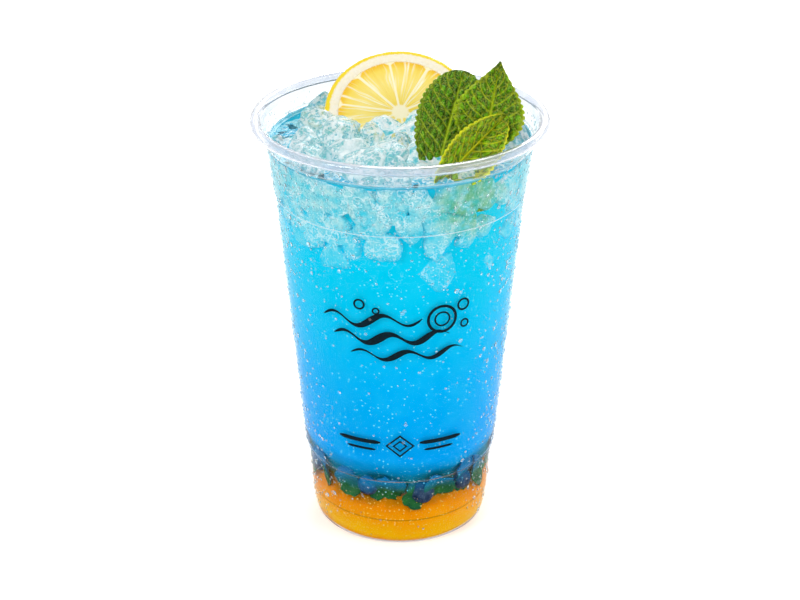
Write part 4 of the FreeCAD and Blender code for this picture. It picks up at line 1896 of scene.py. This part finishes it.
@dataclass
class Lemon:
    """The lemon wheel.

    Attributes:
        axes: Frame of the wheel; its thin direction is the wheel's axis.
    """

    axes: Axes
    zest: float = 1.5
    pulp_radius: float = 20.4
    segments: int = 10
    skin_width: float = 0.5
    core_radius: float = 2.3
    sink: float = 0.35
    seed: int = 31

    def __post_init__(self) -> None:
        """Work out which way the wheel faces."""
        normal = self.axes.thin if self.axes.thin[2] > 0 else -self.axes.thin
        side = np.cross(np.array([0.0, 0.0, 1.0]), normal)
        side /= np.linalg.norm(side)
        side = -side if side[0] < 0 else side
        self.radius = float(self.axes.reach[0])
        self.half = float(self.axes.reach[2])
        self.turn = np.column_stack([side, np.cross(normal, side), normal])

    def place(self, name: str, points: np.ndarray, faces: list, finish: Material, fields: dict) -> None:
        """Carry a piece from the wheel's own frame to the part's, and settle it.

        Args:
            name: Name of the piece.
            points: Its points in the wheel's frame.
            faces: Its faces.
            finish: Its material.
            fields: Numbers kept on its points.
        """
        piece = new_piece(name, points @ self.turn.T + self.axes.middle, faces, finish, fields)
        settle(face_outward(piece), Slot.LEMON, "lemon_wheel")

    def rind(self) -> None:
        """Build the ring of zest and pith."""
        half, radius, inner = self.half, self.radius, self.pulp_radius - 0.5
        upper = [(inner, half - 0.25, 0.3), (inner + 1.0, half, 0.4), (radius - 0.2, half - 0.1, 0.9)]
        lower = [(across, -up, soft) for across, up, soft in upper[::-1]]
        start = (inner, 0.0, 0.0)
        profile = divided(rounded([start, *upper, (radius, 0.0, 1.2), *lower, start]), 0.45)[:-1]
        points, faces = turned(profile, 360, ring=True)
        around = np.hypot(points[:, 0], points[:, 1])
        out = smooth_step(around, radius - 2 * self.zest, radius)
        dimple = Grain(self.seed).soft(points, 1.1) * 0.16 + Grain(self.seed + 1).soft(points, 4.0) * 0.18
        points[:, :2] *= (1.0 - out * np.abs(dimple) / around)[:, None]
        points[:, 2] += (1.0 - out) * 0.12 * Grain(self.seed + 2).soft(points, 1.6)
        self.place("lemon_rind", points, faces, Rind().build(), {"out": out})

    def face(self, side: Side, finish: Material) -> None:
        """Build the pulp of one face.

        Args:
            side: Which face.
            finish: Its material.
        """
        rings, sectors = 56, 520
        share, turn = np.meshgrid(np.linspace(0.0, 1.0, rings + 1)[1:], circle(sectors), indexing="ij")
        share, turn = share.ravel(), turn.ravel()
        flat = np.column_stack([np.cos(turn), np.sin(turn), np.zeros(len(turn))])
        wobble = 0.05 * Grain(self.seed).soft(flat * 9.0, 2.0)
        step = FULL_TURN / self.segments
        phase = (turn + wobble + step * 0.29) / step
        number = np.floor(phase)
        radius = share * self.pulp_radius
        off = np.abs(phase - number - 0.5) * step
        skin = 1.0 - smooth_step((0.5 * step - off) * radius, self.skin_width * 0.4, self.skin_width)
        end = (self.pulp_radius - 0.1 - radius) - 1.3 * smooth_step(off, 0.3 * step, 0.5 * step)
        skin = np.maximum(skin, 1.0 - smooth_step(end, 0.0, 0.5))
        skin = np.maximum(skin, 1.0 - smooth_step(radius, self.core_radius, self.core_radius + 0.8))
        bent = turn + 0.03 * Grain(self.seed + 4).soft(flat * 30 * share[:, None], 6.0)
        cells = np.column_stack([bent * 20.0, share * 2.6 + 0.4 * number, number])
        streak = Grain(self.seed + 5).soft(cells, 1.0)
        cells = np.column_stack([bent * 44.0, share * 3.4, number + 7.0])
        streak = 0.6 * streak + 0.55 * Grain(self.seed + 6).soft(cells, 1.0)
        height = self.half - self.sink - 0.15 + 0.22 * (1.0 - np.abs(streak)) * (1.0 - skin)
        rim = self.pulp_radius
        height += skin * self.sink * 0.6 * (1.0 - smooth_step(radius, rim - 2.5, rim - 1.0))
        height -= 0.5 * smooth_step(radius, rim - 0.6, rim)
        points = np.column_stack([radius * flat[:, 0], radius * flat[:, 1], height * side.value])
        ends = np.array([[0.0, 0.0, height[:sectors].mean() * side.value], [0.0, 0.0, 0.0]])
        fields = {
            "reach": np.append(share, [0.0, 0.0]),
            "skin": np.append(skin, [1.0, 1.0]),
            "streak": np.append(streak, [0.0, 0.0]),
        }
        faces = grid_faces(rings, sectors, poles=True)
        self.place(f"lemon_pulp_{side.name.lower()}", np.vstack([points, ends]), faces, finish, fields)

    def build(self) -> None:
        """Build the wheel."""
        self.rind()
        pulp = Pulp().build()
        for side in Side:
            self.face(side, pulp)


# ---------------------------------------------------------------- mint


@dataclass
class Leaf:
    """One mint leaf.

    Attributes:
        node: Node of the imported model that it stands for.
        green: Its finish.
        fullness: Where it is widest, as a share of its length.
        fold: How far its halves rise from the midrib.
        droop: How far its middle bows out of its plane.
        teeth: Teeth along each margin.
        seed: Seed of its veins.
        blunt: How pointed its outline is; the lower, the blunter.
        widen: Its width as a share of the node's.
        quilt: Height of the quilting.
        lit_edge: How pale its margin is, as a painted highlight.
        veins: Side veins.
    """

    node: str
    green: LeafGreen
    fullness: float = 0.45
    fold: float = 12.0
    droop: float = 1.5
    teeth: int = 17
    seed: int = 1
    blunt: float = 0.62
    widen: float = 1.0
    thickness: float = 0.34
    quilt: float = 0.7
    lit_edge: float = 0.3
    veins: int = 8
    rows: int = 130
    columns: int = 79

    def outline(self, along: np.ndarray) -> np.ndarray:
        """Half width along the leaf as a share of the greatest."""
        power = math.log(0.5) / math.log(self.fullness)
        return 0.03 + 0.97 * np.sin(math.pi * np.clip(along, 0.0, 1.0) ** power) ** self.blunt

    def relief(self, flat: np.ndarray, along: np.ndarray, across: np.ndarray) -> tuple:
        """Veins and quilting.

        Args:
            flat: Points of the blade laid flat.
            along: Share of the length.
            across: Share of the half width, signed.

        Returns:
            How much each point is vein, with the pale margin added as a painted highlight, and how far it is
            raised, both from 0 to 1.
        """
        bent = along - 0.26 * np.abs(across) ** 1.15 + 0.012 * Grain(self.seed).soft(flat, 3.0)
        phase = bent * self.veins * (1.0 + 0.25 * along) + np.where(across < 0, 0.37, 0.0)
        from_vein = np.abs(phase - np.round(phase))
        main = np.exp(-((across / (0.025 + 0.03 * (1 - along))) ** 2))
        second = np.exp(-((from_vein / 0.075) ** 2)) * smooth_step(1.0 - np.abs(across), 0.02, 0.25)
        joints = Grain(self.seed + 3).cracks(flat * np.array([0.55, 1.0, 1.0]), 1.9)
        fine = np.exp(-((joints / 0.085) ** 2))
        # The pale margin is a painted highlight, added to the veins' field.
        edge = smooth_step(np.abs(across), 0.82, 1.0)
        vein = np.clip(np.maximum.reduce([main, 0.7 * second, 0.5 * fine, self.lit_edge * edge]), 0.0, 1.0)
        puff = smooth_step(joints, 0.0, 0.75) * (0.6 + 0.4 * smooth_step(from_vein, 0.0, 0.2))
        return vein, puff * (1.0 - main)

    def build(self, node: Piece, stem: np.ndarray, finish: Material) -> None:
        """Build the leaf.

        Args:
            node: The node that it stands for.
            stem: Middle of the sprig's stem, which the leaf's foot is nearest to.
            finish: Its material.
        """
        axes = Axes.of_node(node)
        long, thin = axes.long, axes.thin
        foot, tip = axes.middle - long * axes.reach[0], axes.middle + long * axes.reach[0]
        if np.linalg.norm(tip - stem) < np.linalg.norm(foot - stem):
            foot, long = tip, -long
        if thin @ np.array([0.0, -0.9, 0.44]) < 0:
            thin = -thin
        wide = np.cross(thin, long)
        steps = np.linspace(0.0, 1.0, self.rows), np.linspace(-1.0, 1.0, self.columns)
        along, across = (grid.ravel() for grid in np.meshgrid(*steps, indexing="ij"))
        tooth = np.abs(np.sin(math.pi * along * self.teeth)) ** 0.7 - 0.6
        tooth *= smooth_step(along, 0.05, 0.2) * smooth_step(1.0 - along, 0.0, 0.06)
        half = axes.reach[1] * self.widen
        margin = half * self.outline(along) * (1.0 + 0.09 * tooth * np.abs(across) ** 3)
        flat = np.column_stack([along * (2 * axes.reach[0]), across * margin, np.zeros(len(along))])
        vein, puff = self.relief(flat, along, across)
        lift = np.abs(across) * margin * math.tan(math.radians(self.fold))
        lift += self.droop * (4 * along * (1 - along)) + 0.5 * Grain(self.seed + 6).soft(flat, 9.0)
        lift += self.quilt * (puff - 0.45 * vein)
        lift -= lift.mean()
        top = np.outer(flat[:, 0], long) + np.outer(flat[:, 1], wide) + np.outer(lift, thin) + foot
        points = np.vstack([top, top - thin * self.thickness])
        fields = {"vein": np.tile(vein, 2), "rise": np.tile(puff, 2)}
        name = self.node.replace("mint_leaf", "leaf")
        piece = face_outward(new_piece(name, points, self.shell(), finish, fields))
        settle(piece, Slot.MINT, self.node)

    def shell(self) -> list:
        """Corner numbers of a closed blade: its upper side, its lower side and its margin."""
        numbers = np.arange(self.rows * self.columns).reshape(self.rows, self.columns)
        edge = [*numbers[0], *numbers[1:, -1], *numbers[-1, -2::-1], *numbers[-2:0:-1, 0]]
        return plate(grid_faces(self.rows, self.columns, wrap=False), edge, self.rows * self.columns)


@dataclass
class Mint:
    """The sprig of mint.

    Attributes:
        nodes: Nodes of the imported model, by name.
    """

    nodes: dict[str, Piece]

    def leaves(self) -> list[Leaf]:
        """The leaves, each with its own look."""
        deep, fresh, young = DEEP_GREEN, FRESH_GREEN, YOUNG_GREEN
        return [
            Leaf("mint_leaf_left", deep, 0.52, 6.0, 1.2, 19, 3, 0.5, 1.08),
            Leaf("mint_leaf_right", fresh, 0.4, 18.0, 2.2, 17, 11, 1.25, 1.22, lit_edge=0.6),
            Leaf("mint_leaf_front", young, 0.45, 36.0, -1.0, 17, 17, 0.7, 0.95, lit_edge=0.9),
            Leaf("mint_leaf_back", fresh, 0.5, 10.0, seed=23),
            Leaf("mint_leaf_low", young, 0.5, 4.0, 0.0, 11, 29),
        ]

    def build(self) -> None:
        """Build every leaf and dress the stem."""
        node = self.nodes["mint_stem"]
        stem = Axes.of_node(node).middle
        made = {green: green.build() for green in (DEEP_GREEN, FRESH_GREEN, YOUNG_GREEN)}
        for leaf in self.leaves():
            leaf.build(self.nodes[leaf.node], stem, made[leaf.green])
        node.data.materials.clear()
        node.data.materials.append(STALK.build())


# ---------------------------------------------------------------- the studio


@dataclass(frozen=True)
class Studio:
    """Floor, lamps and camera.

    Attributes:
        eye: Place of the camera in metres.
        target: Point that it looks at.
        lens: Focal length in millimetres.
        room: Strength of the even light from all round.
        floor_reach: Half the width of the floor, in millimetres.
        lamps: Name, place and width in metres, and power in watts of each lamp.
    """

    eye: tuple[float, float, float] = (0.0, -0.5370, 0.3398)
    target: tuple[float, float, float] = (0.0, 0.0, 0.07805)
    lens: float = 81.0
    room: float = 0.52
    floor_reach: float = 6000.0
    lamps: tuple = (
        ("key", (-0.55, -0.45, 0.75), 0.3, 3.4),
        ("fill", (0.65, -0.35, 0.45), 0.4, 2.0),
        ("back", (0.2, 0.75, 0.6), 0.5, 3.4),
    )

    def floor(self) -> None:
        """Lay the pale floor."""
        brush = Brush("pale_floor")
        dark, pale = (0.93, 0.93, 0.93, 1.0), (0.95, 0.95, 0.95, 1.0)
        feeds = {"Base Color": brush.mix(brush.noise(400.0, 1.0), dark, pale)}
        feeds |= {"Roughness": 0.9, "Specular IOR Level": 0.1}
        glow = brush.add("Emission", 0, {"Color": WHITE, "Strength": brush.seen() * 0.34})
        both = brush.add("AddShader", 0, {0: brush.add("BsdfPrincipled", 0, feeds), 1: glow})
        brush.end(both, "ShaderNodeOutputMaterial")
        size = self.floor_reach
        corners = np.array([(-size, -size, 0.0), (size, -size, 0.0), (size, size, 0.0), (-size, size, 0.0)])
        new_piece("floor", corners, [(0, 1, 2, 3)], brush.material)

    def aim(self, name: str, data: Any, place: tuple, target: tuple) -> Piece:
        """Hang a lamp or a camera.

        Args:
            name: Its name.
            data: Its settings.
            place: Where it hangs, in metres.
            target: Point that it faces.

        Returns:
            The new object.
        """
        holder = linked(bpy.data.objects.new(name, data))
        holder.location = place
        holder.rotation_euler = (Vector(target) - Vector(place)).to_track_quat("-Z", "Y").to_euler()
        return holder

    def world(self) -> None:
        """Light the room evenly, and show it white."""
        world = bpy.data.worlds.new("studio")
        bpy.context.scene.world = world
        world.use_nodes = True
        tree = Tree(world.node_tree)
        level = tree.seen().stretch(0.0, 1.0, self.room, 1.0)
        tree.end(tree.add("Background", 0, {"Color": WHITE, "Strength": level}), "ShaderNodeOutputWorld")

    def build(self) -> None:
        """Set up the whole studio."""
        scene = bpy.context.scene
        scene.view_settings.view_transform = "Standard"
        scene.cycles.transparent_max_bounces = 24
        scene.cycles.max_bounces = 20
        scene.cycles.transmission_bounces = 18
        data = bpy.data.cameras.new("camera")
        data.lens = self.lens
        data.sensor_width = 36.0
        data.clip_start = 0.01
        scene.camera = self.aim("camera", data, self.eye, self.target)
        self.world()
        self.floor()
        for name, place, size, power in self.lamps:
            light = bpy.data.lights.new(name, "AREA")
            light.size = size
            light.energy = power
            self.aim(name, light, place, (0.0, 0.0, 0.08))


def main() -> None:
    """Load the frame and dress every sub-assembly."""
    logging.basicConfig(level=logging.INFO, format="%(name)s: %(message)s")
    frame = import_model()
    nodes = frame["nodes"]
    Studio().build()
    cup_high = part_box("cup")[1]
    drink_low, drink_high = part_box("blue_lemonade")
    cup = Cup(cup_high[0] / MM, cup_high[2] / MM)
    syrup_top, level = drink_low[2] / MM, drink_high[2] / MM
    cup.build(level)
    Drink(cup, syrup_top, level).build()
    wheel, low_leaf = Axes.of_node(nodes["lemon_wheel"]), Axes.of_node(nodes["mint_leaf_low"])
    around = CloudyDrink(syrup_top, level)
    Ice(cup, level, nodes["ice_heap"], nodes["lemon_wheel"], around, wheel.middle, low_leaf.middle).build()
    SunkFruit(cup, syrup_top).build()
    small = Small(cup, syrup_top, level)
    small.bubbles()
    small.beads()
    Print(cup).build()
    Lemon(wheel).build()
    Mint(nodes).build()
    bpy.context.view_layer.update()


if __name__ == "__main__":
    main()
